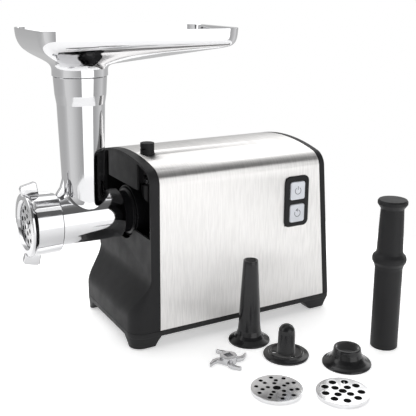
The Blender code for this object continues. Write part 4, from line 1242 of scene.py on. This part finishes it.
class WorldMath:
    """Builds arithmetic in the world's shader, for light that depends on the direction it comes from."""

    def __init__(self, tree):
        self.nodes, self.links = tree.nodes, tree.links

    def _plug(self, value, socket):
        if isinstance(value, (int, float)):
            socket.default_value = value
        else:
            self.links.new(value, socket)

    def math(self, operation, *values):
        node = self.nodes.new("ShaderNodeMath")
        node.operation = operation
        for value, socket in zip(values, node.inputs):
            self._plug(value, socket)
        return node.outputs["Value"]

    def ease(self, value, start, end, low=0.0, high=1.0):
        node = self.nodes.new("ShaderNodeMapRange")
        node.interpolation_type = "SMOOTHSTEP"
        for key, number in (("From Min", start), ("From Max", end), ("To Min", low), ("To Max", high)):
            node.inputs[key].default_value = number
        self._plug(value, node.inputs["Value"])
        return node.outputs["Result"]

    def curve(self, value, stops):
        """Piecewise level over an angle, as a sum of eased steps."""
        total = stops[0][1]
        for (a, low), (b, high) in zip(stops, stops[1:]):
            if high != low:
                total = self.math("ADD", total, self.ease(value, a, b, 0.0, high - low))
        return total

    def mix(self, factor, first, second):
        change = self.math("SUBTRACT", second, first)
        return self.math("MULTIPLY_ADD", change, factor, first)


# Brightness over the angle in the vertical plane across the machine, in degrees:
# 0 is the horizon on the control side, 90 straight up, 180 the far horizon, and below 0 the floor.
# The bright band behind the top makes the roof's highlight, and the dark one before it the line at its bend.
LEVELS = (
    (-180.0, 0.55),
    (-165.0, 0.62),
    (-100.0, 0.80),
    (38.0, 0.80),
    (39.0, 0.16),
    (60.0, 0.18),
    (77.0, 0.32),
    (92.0, 0.55),
    (104.0, 1.0),
    (114.0, 2.3),
    (139.0, 2.3),
    (149.0, 0.90),
    (157.0, 0.66),
    (166.0, 0.58),
    (180.0, 0.60),
)


FLOOR_R = 0.66
FLOOR_CENTRE = (-0.1, 0.0)
FLOOR_GLOW = 0.44
# The side light: its middle and half width in degrees of azimuth, and its brightness.
SIDE_AZIMUTH = -77.5
SIDE_HALF_WIDTH = 26.0
SIDE_LEVEL = 2.0
BACKDROP = 1.0


def build_floor():
    bm = bmesh.new()
    bm.faces.new([bm.verts.new((x, y, 0.0)) for x, y in disc(FLOOR_R, 96, FLOOR_CENTRE)])
    mesh = bpy.data.meshes.new("floor")
    bm.to_mesh(mesh)
    bm.free()
    floor = bpy.data.objects.new("floor", mesh)
    SCENE.collection.objects.link(floor)
    glow = {"Emission_Color": (1.0, 1.0, 1.0, 1.0), "Emission_Strength": FLOOR_GLOW}
    mat = principled("floor_white", (0.93, 0.93, 0.93), 0.9, **glow)
    white = blend_colours(mat, noise(mat, 3.0), (0.925, 0.925, 0.925), (0.935, 0.935, 0.935))
    feed(mat, "Base Color", white)
    mesh.materials.append(mat)


def build_world():
    world = bpy.data.worlds.new("studio")
    SCENE.world = world
    world.use_nodes = True
    nodes, links = world.node_tree.nodes, world.node_tree.links
    sky = WorldMath(world.node_tree)
    coords = nodes.new("ShaderNodeTexCoord")
    split = nodes.new("ShaderNodeSeparateXYZ")
    links.new(coords.outputs["Generated"], split.inputs["Vector"])
    x, y, z = (split.outputs[key] for key in "XYZ")
    degrees = 180.0 / math.pi
    azimuth = sky.math("MULTIPLY", sky.math("ARCTAN2", y, x), degrees)
    across = sky.math("MULTIPLY", sky.math("ARCTAN2", z, sky.math("MULTIPLY", y, -1.0)), degrees)
    # Low on the control side: a wide soft light, and grey that brightens away from it.
    away = sky.math("ABSOLUTE", sky.math("SUBTRACT", azimuth, SIDE_AZIMUTH))
    in_light = sky.ease(away, SIDE_HALF_WIDTH - 0.8, SIDE_HALF_WIDTH + 1.0, 1.0, 0.0)
    side_level = sky.mix(in_light, sky.ease(away, SIDE_HALF_WIDTH, 90.0, 0.54, 0.96), SIDE_LEVEL)
    near = sky.math("MULTIPLY", sky.ease(across, 36.0, 38.0, 1.0, 0.0), sky.ease(across, -95.0, -88.0))
    level = sky.mix(near, sky.curve(across, LEVELS), side_level)
    # The camera itself sees a plain white backdrop.
    path = nodes.new("ShaderNodeLightPath")
    level = sky.mix(path.outputs["Is Camera Ray"], level, BACKDROP)
    links.new(level, nodes["Background"].inputs["Color"])
    nodes["Background"].inputs["Strength"].default_value = 1.0


def build_studio():
    build_floor()
    build_world()
    overhead = area_light("overhead", (0.1, -0.1, 1.9), (0.1, 0.0, 0.0), (2.0, 2.0), 5.0)
    overhead.visible_glossy = False
    for obj in bpy.data.objects:
        if obj.name.startswith(LOOSE):
            obj.visible_glossy = False
    SCENE.view_settings.view_transform = "Standard"


CAMERA_SPOT = (-0.4434, -0.7565, 0.4401)
CAMERA_DOWN = 13.18
CAMERA_TURN = -29.52
CAMERA_ROLL = 0.47


def build_camera():
    data = bpy.data.cameras.new("camera")
    data.sensor_width = 36.0
    data.lens = 64.9
    data.shift_y = -0.101
    camera = bpy.data.objects.new("camera", data)
    SCENE.collection.objects.link(camera)
    camera.location = CAMERA_SPOT
    turn = Euler((math.radians(90.0 - CAMERA_DOWN), 0.0, math.radians(CAMERA_TURN))).to_matrix()
    roll = Matrix.Rotation(math.radians(CAMERA_ROLL), 3, "Z")
    camera.rotation_euler = (turn @ roll).to_euler()
    data.clip_start = 0.01
    data.clip_end = 50.0
    SCENE.camera = camera


build_camera()
build_front()
build_cover()
build_rear()
build_base()
build_controls()
build_lock()
build_socket()
build_head()
build_nut()
build_tray()
build_attachments()
for node, kind in KEPT.items():
    mesh = frame["nodes"][node].data
    mesh.materials.clear()
    mesh.materials.append(MATS[kind])
build_studio()
